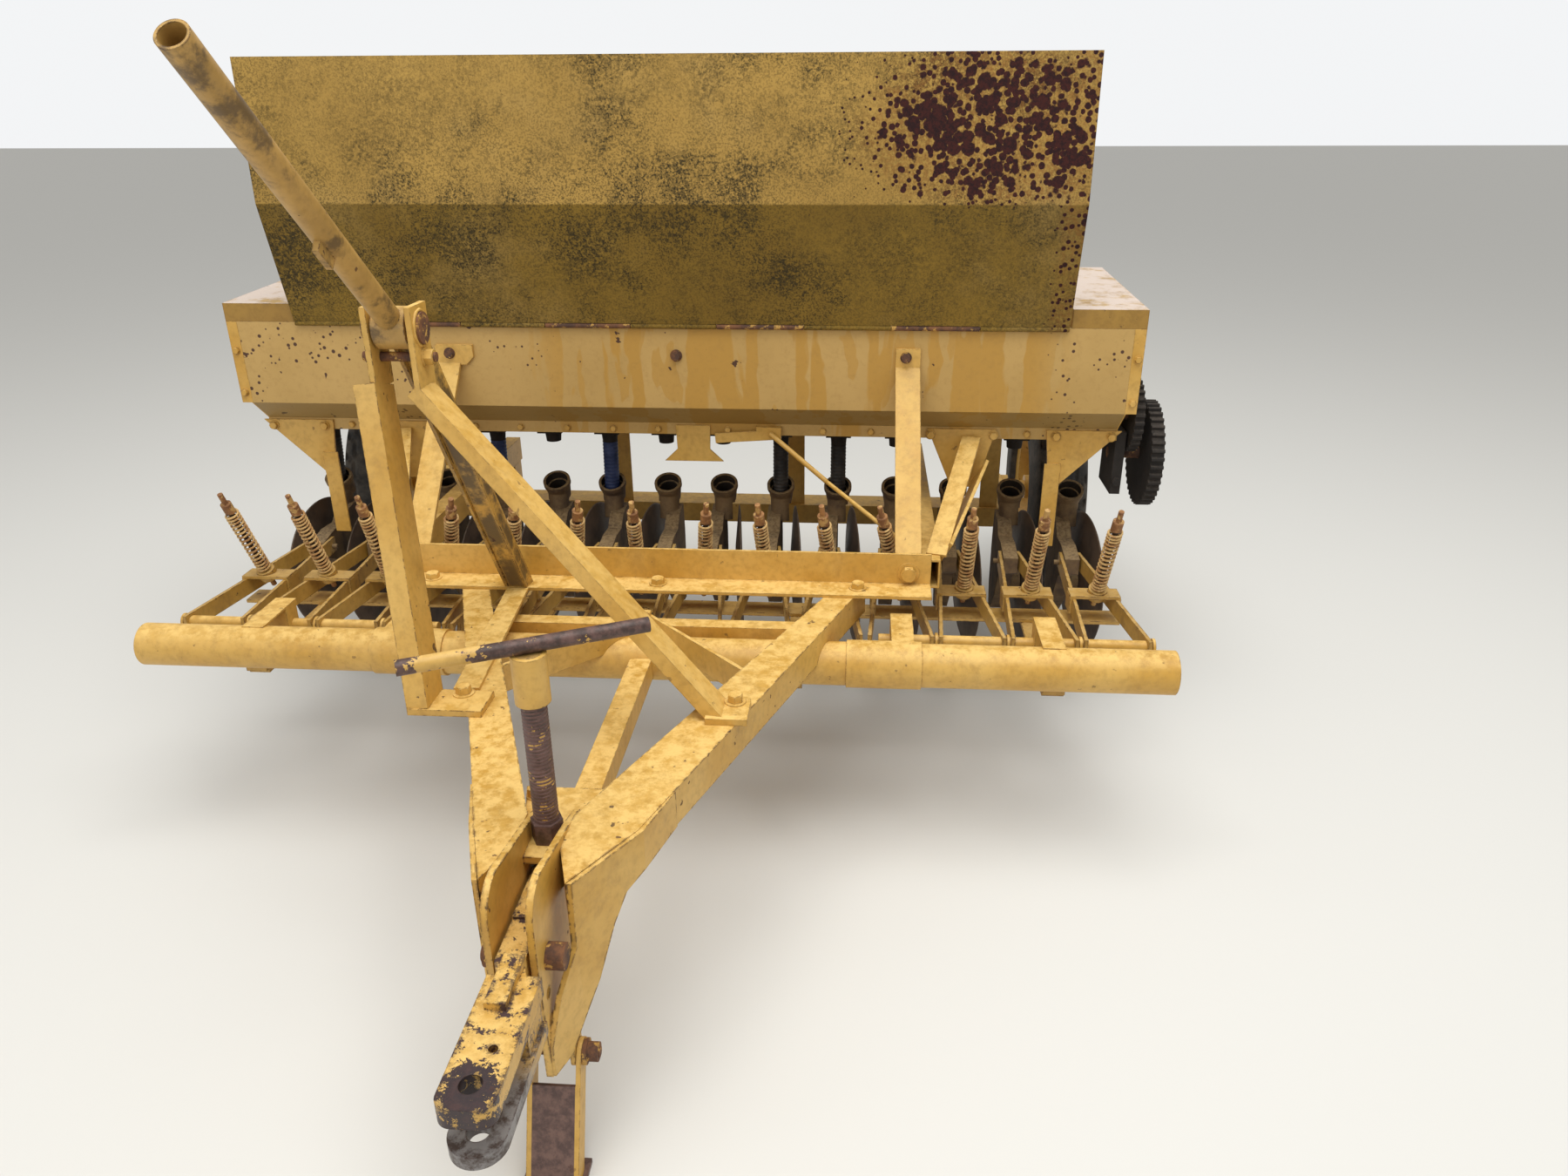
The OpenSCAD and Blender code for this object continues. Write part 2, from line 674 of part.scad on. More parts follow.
module lid() at_pin() color(yellow)
    translate([0, hinge_y, hinge_z])
    difference() {
        union() {
            lid_knuckles(0);
            translate([-lid_length / 2, 0, 0]) rotate([90, 0, 90]) linear_extrude(lid_length)
            polygon([
                lid_p(-sheet, 7), lid_p(-sheet, lid_low), lid_q(0, lid_high), lid_q(lid_lip, lid_high),
                lid_q(lid_lip, lid_high - sheet), lid_q(sheet, lid_high - sheet),
                lid_p(0, lid_low - sheet * tan(lid_bend / 2)), lid_p(0, 7)
            ]);
            for (i = [0 : 2 : lid_knuckle_count - 1])
                translate([-lid_length / 2 + (i + 0.1) * lid_length / lid_knuckle_count, 0, 0])
                rotate([lid_lean, 0, 0]) translate([0, 0.4 - sheet, 3])
                cube([0.8 * lid_length / lid_knuckle_count, sheet - 0.8, 6]);
            both() rotate([lid_lean, 0, 0]) translate([lid_length / 2 - sheet - 0.5, 1 - sheet, 40])
            cube([sheet, lid_lip + sheet, lid_low - 44]);
        }
        along_x([-lid_length, 0, 0], 2 * lid_length, hinge_pin_d + 0.16);
    }

module lid_hinge() at_pin() color(rust) translate([0, hinge_y, hinge_z]) {
    along_x([-lid_length / 2, 0, 0], lid_length, hinge_pin_d);
    lid_knuckles(1);
}

module uprights() at_pin() color(yellow) {
    // wider top plate of the left one, its lower corner cut off
    translate([0, box_front_y, 0]) rotate([90, 0, 0]) linear_extrude(upright_t) polygon([
        [-upright_x + upright_w / 2, box_top - 48], [-upright_x + upright_w / 2, box_top - 94],
        [-upright_x + upright_w / 2 + 14, box_top - 94], [-upright_x + upright_w / 2 + 32, box_top - 76],
        [-upright_x + upright_w / 2 + 32, box_top - 48]
    ]);
    both() {
    difference() {
        union() {
            bar([upright_x + 4, rail_y + rail_leg + 3, drawbar_top + rail_leg - 4], [upright_x, box_front_y - upright_t + 3, box_top - 92], upright_w, upright_t);
            translate([upright_x + 4 - upright_w / 2, rail_y + rail_leg, drawbar_top + 4]) cube([upright_w, upright_t, rail_leg - 4]);
            translate([upright_x - upright_w / 2, box_front_y - upright_t, box_top - 94]) cube([upright_w, upright_t, 46]);
        }
        translate([0, box_front_y, 0]) cube([2000, 100, 2000]);
        translate([0, rail_y, 0]) cube([2000, rail_leg, drawbar_top + rail_leg]);
    }
}
}

module box_brackets() at_pin() color(yellow) {
    t = 5;
    both() {
        // trapezoid plate on the lip with its two stays
        translate([0, lip_y, 0]) rotate([90, 0, 0]) linear_extrude(t)
        polygon([[590, lip_low + 24], [752, lip_low + 24], [712, lip_low - 120], [652, lip_low - 120]]);
        difference() {
            union() {
                bar([694, lip_y - t - 8, lip_low + 6], [side_beam_x + 12, rail_y + rail_leg + 30, side_beam_z + beam_h], 44, 7);
                bar([720, lip_y - t - 8, lip_low - 78], [side_beam_x + 30, rail_y + rail_leg + 60, side_beam_z + 52], 80, 8, 62);
            }
            side_beam_block();
        }
        // triangle plate near the end
        translate([0, lip_y, 0]) rotate([90, 0, 0]) linear_extrude(t)
        polygon([
            [box_length / 2 - 163, lip_low + 24], [box_length / 2 + 13, lip_low + 24],
            [box_length / 2 - 121, lip_low - 108], [box_length / 2 - 149, lip_low - 108]
        ]);
        translate([box_length / 2 - 161, lip_y - t - 5, lip_low - 268]) cube([38, 5, 210]);
    }
}

module side_beam_block()
    translate([side_beam_x - side_beam_w / 2, rail_y + rail_leg, side_beam_z])
    cube([side_beam_w, rear_beam_y + 45 - rail_y - rail_leg, beam_h]);

module side_beams() at_pin() color(yellow) both() difference() {
    side_beam_block();
    translate([side_beam_x - side_beam_w / 2 + 4, rail_y, side_beam_z + 4])
    cube([side_beam_w - 8, 2000, beam_h - 8]);
}

module rear_frame() at_pin() color(yellow) {
    box_posts();
    difference() {
        translate([-860, rear_beam_y - 45, axle_z - 22]) cube([1720, 90, 55]);
        translate([-861, rear_beam_y - 40, axle_z - 17]) cube([1722, 80, 45]);
    }
    both() translate([side_beam_x - side_beam_w / 2, rear_beam_y - 30, axle_z + 33])
    cube([side_beam_w, 60, side_beam_z - axle_z - 33]);
}

module box_posts() both()
    for (x = [250, 800]) difference() {
        union() {
            translate([x - 25, 2 * box_mid_y - lip_y, lip_low - 6]) cube([50, 6, 30]);
            translate([x - 25, 2 * box_mid_y - lip_y, axle_z + 33]) cube([50, 6, lip_low - axle_z - 33]);
        }
    }

module wheel_arms() at_pin() color(yellow) both() {
    translate([830, rear_beam_y + 45, axle_z - 32]) cube([40, axle_y - rear_beam_y - 20, 64]);
    along_x([870, axle_y, axle_z], wheel_x + 40 - 870, 38);
    along_x([870, axle_y, axle_z], 20, 70);
}

module wheel_profile_tyre() {
    r = tyre_d / 2;
    w = tyre_w / 2;
    intersection() {
        union() {
            translate([r - w * 0.92, 0]) scale(1) circle(r = w * 0.92);
            translate([rim_d / 2, -w * 0.72]) square([r - rim_d / 2 - w * 0.7, w * 1.44]);
            translate([rim_d / 2 + 20, -w]) square([r - rim_d / 2 - 52, 2 * w]);
        }
        translate([rim_d / 2 - 4, -w]) square([r - rim_d / 2 + 4, 2 * w]);
    }
}

module wheel(s) translate([s * wheel_x, axle_y, axle_z]) rotate([0, 90, 0]) children();

module tyre(s) wheel(s) color(rubber) rotate_extrude($fn = 48) difference() {
    wheel_profile_tyre();
    translate([0, -tyre_w]) square([rim_d / 2, 2 * tyre_w]);
}

module rim(s) wheel(s) color(yellow) {
    difference() {
        rotate_extrude($fn = 48) polygon([
            [rim_d / 2 - 0.2, -56], [rim_d / 2 - 0.2, 56], [rim_d / 2 - 22, 50], [rim_d / 2 - 26, 6],
            [hub_d / 2 + 20, 14], [hub_d / 2 - 6, 14], [hub_d / 2 - 6, 40], [19.08, 40],
            [19.08, -58], [36, -58], [36, 6], [hub_d / 2 + 22, 6],
            [rim_d / 2 - 34, -2], [rim_d / 2 - 22, -50]
        ]);
        for (a = [0 : 72 : 359])
            rotate(a) translate([rim_d / 2 - 62, 0, -40]) cylinder(h = 80, d = 26);
    }
}

module tyre_left() at_pin() tyre(-1);
module tyre_right() at_pin() tyre(1);
module rim_left() at_pin() rim(-1);
module rim_right() at_pin() rim(1);

// openers

module disc_place(k) {
    s = side(k);
    translate([row_x(k) + s * 34, disc_y, disc_height])
    mirror([s < 0 ? 1 : 0, 0, 0])
    rotate([0, 0, disc_toe])
    rotate([0, 90, 0])
    children();
}

module disc(k) disc_place(k) color(steel)
    difference() {
        rotate_extrude($fn = 64) polygon([
            [0, -disc_t / 2], [70, -disc_t / 2], [disc_d / 2 - 2, 9], [disc_d / 2, 9 + disc_t / 2],
            [disc_d / 2 - 14, 9 + disc_t], [70, disc_t / 2], [46, disc_t / 2], [44, disc_t / 2 + 14], [0, disc_t / 2 + 14]
        ]);
        translate([0, 0, -20]) cylinder(h = 60, d = axle_d + 0.16);
    }

module disc_axle(k) disc_place(k) {
    translate([0, 0, -30]) cylinder(h = 56, d = axle_d);
    translate([0, 0, -30]) cylinder(h = 30 - disc_t / 2 - 2, d = 58);
    translate([0, 0, disc_t / 2 + 16]) cylinder(h = 9, d = 34, $fn = 6);
}

module boot_profile() {
    difference() {
        union() {
            polygon([
                [cup_y - 46, cup_height - 70], [cup_y + 22, cup_height - 62], [cup_y + 34, 380], [cup_y + 30, 250],
                [cup_y + 8, 186], [cup_y - 22, 190], [disc_y - 46, 262], [disc_y - 92, 338],
                [440, 372], [440, 412], [disc_y - 90, 424], [disc_y - 30, 420]
            ]);
            translate([disc_y - 4, disc_height + 12]) circle(r = 48);
        }
        translate([disc_y - 66, 470]) circle(r = 40);
    }
}

module boot(k) {
    s = side(k);
    x = row_x(k);
    difference() {
        union() {
            translate([s > 0 ? x - 34 : x - 2, 0, 0]) rotate([90, 0, 90]) linear_extrude(36) boot_profile();
            translate([x, cup_y, cup_height - 4]) rotate([28, 0, 0]) {
                translate([0, 0, -44]) cylinder(h = 44, d1 = cup_d - 16, d2 = cup_d - 4);
                cylinder(h = 12, d = cup_d);
            }
            translate([x, cup_y - 10, cup_height - 92]) rotate([-14, 0, 0]) cylinder(h = 64, d1 = 50, d2 = cup_d - 16);
        }
        translate([x, cup_y, cup_height - 4]) rotate([28, 0, 0]) {
            translate([0, 0, -43]) cylinder(h = 60, d = cup_d - 24);
            translate([0, 0, -10]) cylinder(h = 30, d = cup_d - 14);
        }
        // room for the disc blade
        disc_place(k) translate([0, 0, -disc_t / 2 - 5]) cylinder(h = 120, d = disc_d + 14);
    }
}

module boots(a, b) color(dull) for (k = [a : b]) {
    boot(k);
    along_x([apex_x(k) - 40, 466, rod_height - 6], 80, 12);
    disc_axle(k);
}

module opener_boots() at_pin() boots(0, row_count - 1);

function apex_x(k) = row_x(k) - side(k) * 16;

module leg_pair(k) {
    x = row_x(k);
    ax = apex_x(k);
    for (s = [-1, 1]) difference() {
        bar([x + s * (row_pitch / 2 - 9), -18, rod_height], [ax + s * 22.3, 486, rod_height - 6], leg_h, leg_t, 90);
        along_x([x - row_pitch, 0, rod_height], 2 * row_pitch, rod_d + 0.2);
        along_x([x - row_pitch, 466, rod_height - 6], 2 * row_pitch, 12.2);
    }
}

module drag_arms(a, b) color(yellow) for (k = [a : b]) leg_pair(k);

module opener_arms() at_pin() drag_arms(0, row_count - 1);

function seat_p(k) = [row_x(k) + (lean(k)) * 0.08, rod_foot_y - 14, seat_z + 5];
function top_p(k) = [row_x(k) + lean(k), rod_top_y, rod_top_z];
function unit(v) = v / norm(v);

module saddle(k) {
    x = row_x(k);
    ax = apex_x(k);
    f = (rod_foot_y - 14 + 18) / (486 + 18);
    cx = x + (ax - x) * f;
    hw = (row_pitch / 2 - 9) * (1 - f) + 22.3 * f + leg_t / 2;
    u = unit(top_p(k) - seat_p(k));
    difference() {
        union() {
            translate([cx, 0, 0]) {
                translate([-hw - 6, rod_foot_y - 38, rod_height + leg_h / 2 - 2]) cube([2 * hw + 12, 48, 7]);
                for (s = [-1, 1])
                    translate([s * (hw + 3.5) - 3.5, rod_foot_y - 38, rod_height - leg_h / 2]) cube([7, 48, leg_h]);
            }
            rod(seat_p(k) - 26 * u, seat_p(k), spring_d + 8);
        }
        leg_pair(k);
        rod(seat_p(k) - 60 * u, seat_p(k) + 20 * u, spring_rod_d + 4);
    }
}

module saddles() at_pin() color(yellow) for (k = [0 : row_count - 1]) saddle(k);

// pressure spring: coils as one closed stack, each turn a ridge of the wire's depth
module spring(k) {
    v = top_p(k) - seat_p(k);
    n = norm(v) - 54;
    pitch = n / spring_coils;
    bore = spring_rod_d / 2 + 0.5;
    translate(seat_p(k))
    rotate([0, acos(v[2] / norm(v)), atan2(v[1], v[0])])
    rotate_extrude($fn = 24) polygon(concat(
        [[bore, 0]],
        [for (i = [0 : spring_coils - 1], j = [0, 1, 2]) [spring_d / 2 - (j == 0 ? wire_d * 0.8 : 0), pitch * (i + [0, 0.3, 0.7][j])]],
        [[spring_d / 2 - wire_d * 0.8, n], [bore, n]]
    ));
}

module springs() at_pin() color(rust) for (k = [0 : row_count - 1]) spring(k);

module spring_rods() at_pin() color(rust) for (k = [0 : row_count - 1]) {
    p = seat_p(k);
    u = unit(top_p(k) - p);
    n = norm(top_p(k) - p);
    rod(p - 52 * u, p + n * u, spring_rod_d);
    rod(p + (n - 54) * u, p + (n - 28) * u, 24);
}

module lift_bar() at_pin() color(yellow) {
    z = rod_height - leg_h / 2 - 22;
    difference() {
        translate([-sown / 2 + 20, rod_foot_y - 30, z - 8]) cube([sown - 40, 60, 8]);
        for (k = [0 : row_count - 1])
            rod(seat_p(k) - 60 * unit(top_p(k) - seat_p(k)), top_p(k), spring_rod_d);
    }
    for (x = [-830, -300, 300, 830])
        translate([x - 22, -tube_ahead, z - 16]) cube([44, rod_foot_y + tube_ahead + 30, 8]);
    for (x = [-830, -300, 300, 830])
        difference() {
            translate([x - 22, -tube_ahead - 10, z - 8.01]) cube([44, 20, tube_z - z]);
            tube_shape(tube_d, tube_half);
        }
}

// feed and drive

module feed_cups() at_pin() color(dark) for (k = [0 : row_count - 1])
    translate([row_x(k), feed_y, 0]) difference() {
        union() {
            translate([-32, -46, floor_height - sheet - 72]) cube([64, 92, 72]);
            translate([0, -8, floor_height - sheet - 100]) cylinder(h = 30, d1 = 38, d2 = 44);
        }
        translate([-20, -30, floor_height - 62]) cube([40, 60, 100]);
        along_x([-100, 0, floor_height - 48], 200, 22.2);
        translate([0, -8, floor_height - sheet - 101]) cylinder(h = 50, d = 24);
    }

module drive_shafts() at_pin() color(rust) {
    along_x([-box_length / 2 - 14, feed_y, floor_height - 48], box_length + 90, 22);
    gear_shafts();
}

// rubber tube from a spout down into its funnel, cut level where it meets the spout
module seed_tube(k) {
    spout_z = floor_height - sheet - 100;
    low = [row_x(k), cup_y - 5, cup_height - 14];
    top = [row_x(k), feed_y - 8, spout_z + 6];
    difference() {
        rod(top, low, 40);
        rod(top + [0, 0, 1], low - [0, 0, 1], 32);
        translate([row_x(k) - 50, feed_y - 60, spout_z]) cube([100, 120, 100]);
    }
}

module seed_tubes() at_pin() for (t = tube_rows)
    if (t[0] < row_count) color(t[1] == 1 ? blue : rubber) seed_tube(t[0]);

module gear(d, w, n, bore) difference() {
    union() {
        cylinder(h = w, d = d - 14);
        for (i = [0 : n - 1]) rotate(i * 360 / n)
            linear_extrude(w) polygon([[d / 2 - 12, -d * 1.1 / n], [d / 2, -d * 0.5 / n], [d / 2, d * 0.5 / n], [d / 2 - 12, d * 1.1 / n]]);
    }
    translate([0, 0, -1]) cylinder(h = w + 2, d = bore);
}

module drive_gears() at_pin() color(dark) {
    translate([box_length / 2 + 78, gear_y, gear_z]) rotate([0, 90, 0]) gear(256, 30, 40, 28);
    translate([box_length / 2 + 32, pinion_y, pinion_z]) rotate([0, 90, 0]) gear(176, 22, 28, 26);
}

module gear_shafts() {
    along_x([box_length / 2 + sheet, gear_y, gear_z], 116, 28);
    along_x([box_length / 2 + sheet, pinion_y, pinion_z], 64, 26);
}

module gear_case() at_pin() color(dark) {
    x = box_length / 2 + sheet;
    difference() {
        translate([x, box_front_y + 66, gear_z - 84]) cube([24, 130, lip_low + 18 - gear_z + 84]);
        along_x([x - 10, gear_y, gear_z], 60, 28.1);
    }
    color(yellow) translate([x + 12, box_front_y + 66, gear_z - 52]) rotate([90, 0, 0]) cylinder(h = 8, d = 20);
}

module centre_guard() at_pin() color(yellow)
    translate([26, lip_y, 0]) rotate([90, 0, 0]) linear_extrude(5)
    polygon([[-42, lip_low + 24], [42, lip_low + 24], [40, lip_low - 36], [72, lip_low - 66], [-72, lip_low - 66], [-40, lip_low - 36]]);

module clutch_link() at_pin() {
    color(yellow) translate([210, lip_y - 14, lip_low + 6]) rotate([0, -4, 0]) translate([-130, 0, -14]) cube([150, 6, 24]);
    color(yellow) translate([180, lip_y - 14, lip_low - 6]) cube([60, 14, 30]);
    color(yellow) rod([214, lip_y - 20, lip_low + 10], [352, 392, lip_low - 88], 12);
    color(yellow) rod([350, 393, lip_low - 87], [side_beam_x - side_beam_w / 2 - 5, 143, side_beam_z + 58], 10);
}

// one node for each blade, so that each turns by itself
module disc_01() at_pin() disc(0);
module disc_02() at_pin() disc(1);
module disc_03() at_pin() disc(2);
module disc_04() at_pin() disc(3);
module disc_05() at_pin() disc(4);
module disc_06() at_pin() disc(5);
module disc_07() at_pin() disc(6);
module disc_08() at_pin() disc(7);
module disc_09() at_pin() disc(8);
module disc_10() at_pin() disc(9);
module disc_11() at_pin() disc(10);
module disc_12() at_pin() disc(11);
module disc_13() at_pin() disc(12);
module disc_14() at_pin() disc(13);

front_tube();
drag_rod();
drawbar_arms();
cross_beam();
angle_rail();
drawbar_braces();
hitch_head();
screw_jack();
tongue();
hitch_bolts();
parking_stand();
mast_left_leg();
mast_right_leg();
mast_brace();
mast_tube();
lift_lever();
box_front();
box_rear();
box_floor();
box_ends();
box_dividers();
end_covers();
lid();
lid_hinge();
uprights();
box_brackets();
side_beams();
rear_frame();
wheel_arms();
tyre_left();
tyre_right();
rim_left();
rim_right();
opener_boots();
opener_arms();
saddles();
springs();
spring_rods();
lift_bar();
feed_cups();
drive_shafts();
seed_tubes();
drive_gears();
gear_case();
centre_guard();
clutch_link();
disc_01();
disc_02();
disc_03();
disc_04();
disc_05();
disc_06();
disc_07();
disc_08();
disc_09();
disc_10();
disc_11();
disc_12();
disc_13();
disc_14();
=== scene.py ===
"""Seed drill: looks and small parts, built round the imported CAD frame."""
import math

import bpy
import numpy as np
from mathutils import Euler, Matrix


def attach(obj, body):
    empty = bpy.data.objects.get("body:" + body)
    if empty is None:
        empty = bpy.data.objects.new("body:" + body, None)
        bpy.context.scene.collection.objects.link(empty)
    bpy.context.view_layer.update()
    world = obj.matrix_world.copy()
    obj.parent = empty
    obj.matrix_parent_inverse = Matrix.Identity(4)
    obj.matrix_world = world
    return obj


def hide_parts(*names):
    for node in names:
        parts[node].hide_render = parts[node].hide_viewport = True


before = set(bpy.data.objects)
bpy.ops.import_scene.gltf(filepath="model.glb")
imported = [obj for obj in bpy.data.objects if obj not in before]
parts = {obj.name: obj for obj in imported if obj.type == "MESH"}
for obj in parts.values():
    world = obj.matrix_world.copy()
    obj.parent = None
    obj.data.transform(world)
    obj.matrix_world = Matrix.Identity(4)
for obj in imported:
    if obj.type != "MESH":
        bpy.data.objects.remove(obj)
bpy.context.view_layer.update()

# Camera, light and floor
# The photograph was taken standing ahead of the hitch, a little to the right of the
# middle, looking down at the machine under a bright overcast sky.
ground = -0.372  # the frame's origin is the hitch pin, which stands this far above the ground
overcast_tint = (1.0, 0.985, 0.95)


def into_scene(name, data):
    """A new object in the scene that shows a camera, lamp or mesh."""
    held = bpy.data.objects.new(name, data)
    bpy.context.scene.collection.objects.link(held)
    return held


def soft_lamp(name, place, aim, size, watts, tint):
    """A square area lamp at place that looks towards aim."""
    lamp = bpy.data.lights.new(name, "AREA")
    lamp.size, lamp.energy, lamp.color = size, watts, tint
    held = into_scene(name, lamp)
    held.location = place
    way = np.subtract(aim, place)
    tilt = math.atan2(math.hypot(way[0], way[1]), -way[2])
    held.rotation_euler = Euler((tilt, 0.0, math.atan2(way[1], way[0]) - math.pi / 2))


def node_writer(tree):
    """Empties a node tree and gives the function that fills it. That function adds a node of one kind, with
    its settings and with its sockets, named or numbered as in i0, and gives one of its outputs."""
    tree.nodes.clear()

    def put(kind, out=0, settings=None, **sockets):
        node = tree.nodes.new("ShaderNode" + kind)
        for key, value in (settings or {}).items():
            setattr(node, key, value)
        for key, value in sockets.items():
            numbered = key[0] == "i" and key[1:].isdigit()
            socket = node.inputs[int(key[1:]) if numbered else key.replace("_", " ")]
            if isinstance(value, bpy.types.NodeSocket):
                tree.links.new(value, socket)
            elif isinstance(value, tuple) and len(value) == 3 and socket.type == "RGBA":
                socket.default_value = (*value, 1.0)
            else:
                socket.default_value = value
        return node.outputs[out] if len(node.outputs) else node

    return put


def finish_sheet(name):
    """A new empty material, and the function that adds nodes to it."""
    material = bpy.data.materials.new(name)
    material.use_nodes = True
    return material, node_writer(material.node_tree)


def skin(put, **sockets):
    """Closes a finish: its shader, with the sockets that are given, and its output."""
    put("OutputMaterial", Surface=put("BsdfPrincipled", **sockets))


eye = bpy.data.cameras.new("eye")
eye.lens = 24.927
eye.sensor_width = 36.0
eye.clip_end = 200.0
eye_place = into_scene("eye", eye)
eye_place.location = (0.42395, -0.87391, 1.07218)
eye_place.rotation_euler = Euler([math.radians(a) for a in (65.8645, 0.2476, 3.9315)])
bpy.context.scene.camera = eye_place
bpy.context.scene.view_settings.view_transform = "Standard"

soft_lamp("overcast", (0.6, 0.4, 4.6), (0.0, 1.3, 0.2), 4.0, 215.0, overcast_tint)
soft_lamp("open_sky_front", (-2.2, -3.2, 2.6), (0.0, 1.2, 0.3), 3.0, 48.0, (1.0, 0.99, 0.97))

sky = bpy.data.worlds.new("sky")
bpy.context.scene.world = sky
sky.use_nodes = True
put = node_writer(sky.node_tree)
seen = put("LightPath", out="Is Camera Ray")
lit_sky = put("Background", Color=overcast_tint, Strength=0.56)
white_sky = put("Background", Color=(0.90, 0.91, 0.92), Strength=1.0)
put("OutputWorld", Surface=put("MixShader", i0=seen, i1=lit_sky, i2=white_sky))

reach = 40.0
square = ((-reach, -reach), (reach, -reach), (reach, reach), (-reach, reach))
floor_mesh = bpy.data.meshes.new("floor")
floor_mesh.from_pydata([(x, y, ground) for x, y in square], [], [(0, 1, 2, 3)])
into_scene("floor", floor_mesh)
floor_paint, put = finish_sheet("pale_floor")
skin(put, Base_Color=(0.72, 0.72, 0.70), Roughness=0.9)
floor_mesh.materials.append(floor_paint)

# Weathered ochre paint
# The whole machine was sprayed one ochre yellow. Dust lies on what faces up, the paint is
# chipped to brown steel along the edges, and small rust spots are scattered over it. The
# drawbar is chipped most, and the drag arms, saddles and lift bar take a darker ochre under
# darker dust, with more stains.


def steps(put, value, low, high, smooth=True):
    """0 at low, 1 at high and a slope between, level beyond them."""
    return put("MapRange", settings={"interpolation_type": "SMOOTHSTEP" if smooth else "LINEAR"},
               Value=value, From_Min=low, From_Max=high, To_Min=0.0, To_Max=1.0)


def mixed(put, share, first, second):
    """Two colours blended by the second one's share."""
    return put("Mix", out=2, settings={"data_type": "RGBA"}, i0=share, i6=first, i7=second)


def times(put, a, b):
    """The product of two numbers."""
    return put("Math", settings={"operation": "MULTIPLY"}, i0=a, i1=b)


def plus(put, a, b):
    """The sum of two numbers."""
    return put("Math", settings={"operation": "ADD"}, i0=a, i1=b)


def less(put, a, b):
    """The first number less the second."""
    return put("Math", settings={"operation": "SUBTRACT"}, i0=a, i1=b)


def larger(put, a, b, share=False):
    """The larger of two numbers, held between 0 and 1 where it is a share."""
    return put("Math", settings={"operation": "MAXIMUM", "use_clamp": share}, i0=a, i1=b)


def vector_sum(put, operation, *vectors):
    """A sum on vectors, which is a number for a length and a dot product."""
    out = "Value" if operation in ("LENGTH", "DOT_PRODUCT") else "Vector"
    return put("VectorMath", out=out, settings={"operation": operation},
               **{"i%d" % n: vector for n, vector in enumerate(vectors)})


def along_axis(put, vector, axis):
    """One of a vector's three coordinates."""
    return put("SeparateXYZ", out=axis, Vector=vector)


def facing_up(put):
    """How far the surface faces up, from -1 to 1."""
    return along_axis(put, put("NewGeometry", out="Normal"), "Z")


def grain(put, place, scale, detail=4.0, rough=0.55, stretch=(1.0, 1.0, 1.0), shift=None):
    """Fractal noise over the object's own coordinates, stretched and shifted where a shift is given."""
    if shift:
        place = put("Mapping", Vector=place, Location=shift, Scale=stretch)
    return put("TexNoise", Vector=place, Scale=scale, Detail=detail, Roughness=rough)


def rounded(put, radius):
    """The surface's normal with its edges rounded to a radius."""
    return put("Bevel", settings={"samples": 4}, Radius=radius)


def worn_edges(put, width, low=0.02, high=0.16):
    """1 along the edges within width, from how far the rounded normal leaves the plain one."""
    agreed = vector_sum(put, "DOT_PRODUCT", rounded(put, width), put("NewGeometry", out="Normal"))
    return steps(put, less(put, 1.0, agreed), low, high)


def relief(put, height, strength, depth, corner=None):
    """A normal that shows a fine height over the surface, with its edges rounded to a radius."""
    base = {"Normal": rounded(put, corner)} if corner else {}
    return put("Bump", Strength=strength, Distance=depth, Height=height, **base)


def ochre_paint(name, pale, deep, dusty=0.75, chips=0.35, rust=0.5, edge=0.004, stains=0.22, worn=None,
                dust_tone=(0.84, 0.575, 0.195)):
    """Sprayed paint from a pale to a deep ochre, with dust on top, chipped edges and rust spots. Where it is
    given, worn adds a colour over the paint and the share of it that shows."""
    stain_brown = (0.20, 0.11, 0.035)
    orange_rust, dark_rust = (0.085, 0.032, 0.018), (0.030, 0.015, 0.013)
    shade = tuple(v * 0.62 for v in deep)
    material, put = finish_sheet(name)
    place = put("TexCoord", out="Object")
    broad = grain(put, place, 5.0, 5.0, 0.6)
    fine = grain(put, place, 70.0, 3.0, 0.6)
    colour = mixed(put, steps(put, broad, 0.35, 0.68), pale, deep)
    colour = mixed(put, times(put, steps(put, fine, 0.40, 0.75), 0.35), colour, shade)
    blots = grain(put, place, 16.0, 7.0, 0.75, stretch=(1.0, 1.0, 0.6), shift=(3.1, 0.0, 0.0))
    colour = mixed(put, times(put, steps(put, blots, 0.50, 0.68), stains), colour, stain_brown)
    litter = steps(put, grain(put, place, 38.0, 5.0, 0.75), 0.36, 0.62)
    dust = times(put, times(put, steps(put, facing_up(put), 0.45, 0.95), litter), dusty)
    colour = mixed(put, dust, colour, dust_tone)
    if worn:
        shown, under = worn(put, place)
        colour = mixed(put, shown, colour, under)
    spots = steps(put, grain(put, place, 46.0, 3.0, 0.5, shift=(0.0, 5.3, 1.7)), 0.695, 0.73)
    flaked = steps(put, grain(put, place, 60.0, 5.0, 0.7), 0.47, 0.56)
    edges = times(put, times(put, worn_edges(put, edge), flaked), chips * 1.6)
    bare = larger(put, times(put, spots, rust), edges, share=True)
    colour = mixed(put, bare, colour, mixed(put, steps(put, fine, 0.35, 0.65), orange_rust, dark_rust))
    roughness = put("MapRange", Value=larger(put, dust, bare), From_Min=0.0, From_Max=1.0,
                    To_Min=0.46, To_Max=0.88)
    height = plus(put, times(put, broad, 0.5), times(put, bare, -0.9))
    height = plus(put, height, times(put, fine, 0.22))
    skin(put, Base_Color=colour, Roughness=roughness, Normal=relief(put, height, 0.32, 0.0011, 0.0016))
    return material


def paint_parts(material, *names):
    """Gives CAD parts their finish."""
    for name in names:
        parts[name].data.materials.clear()
        parts[name].data.materials.append(material)


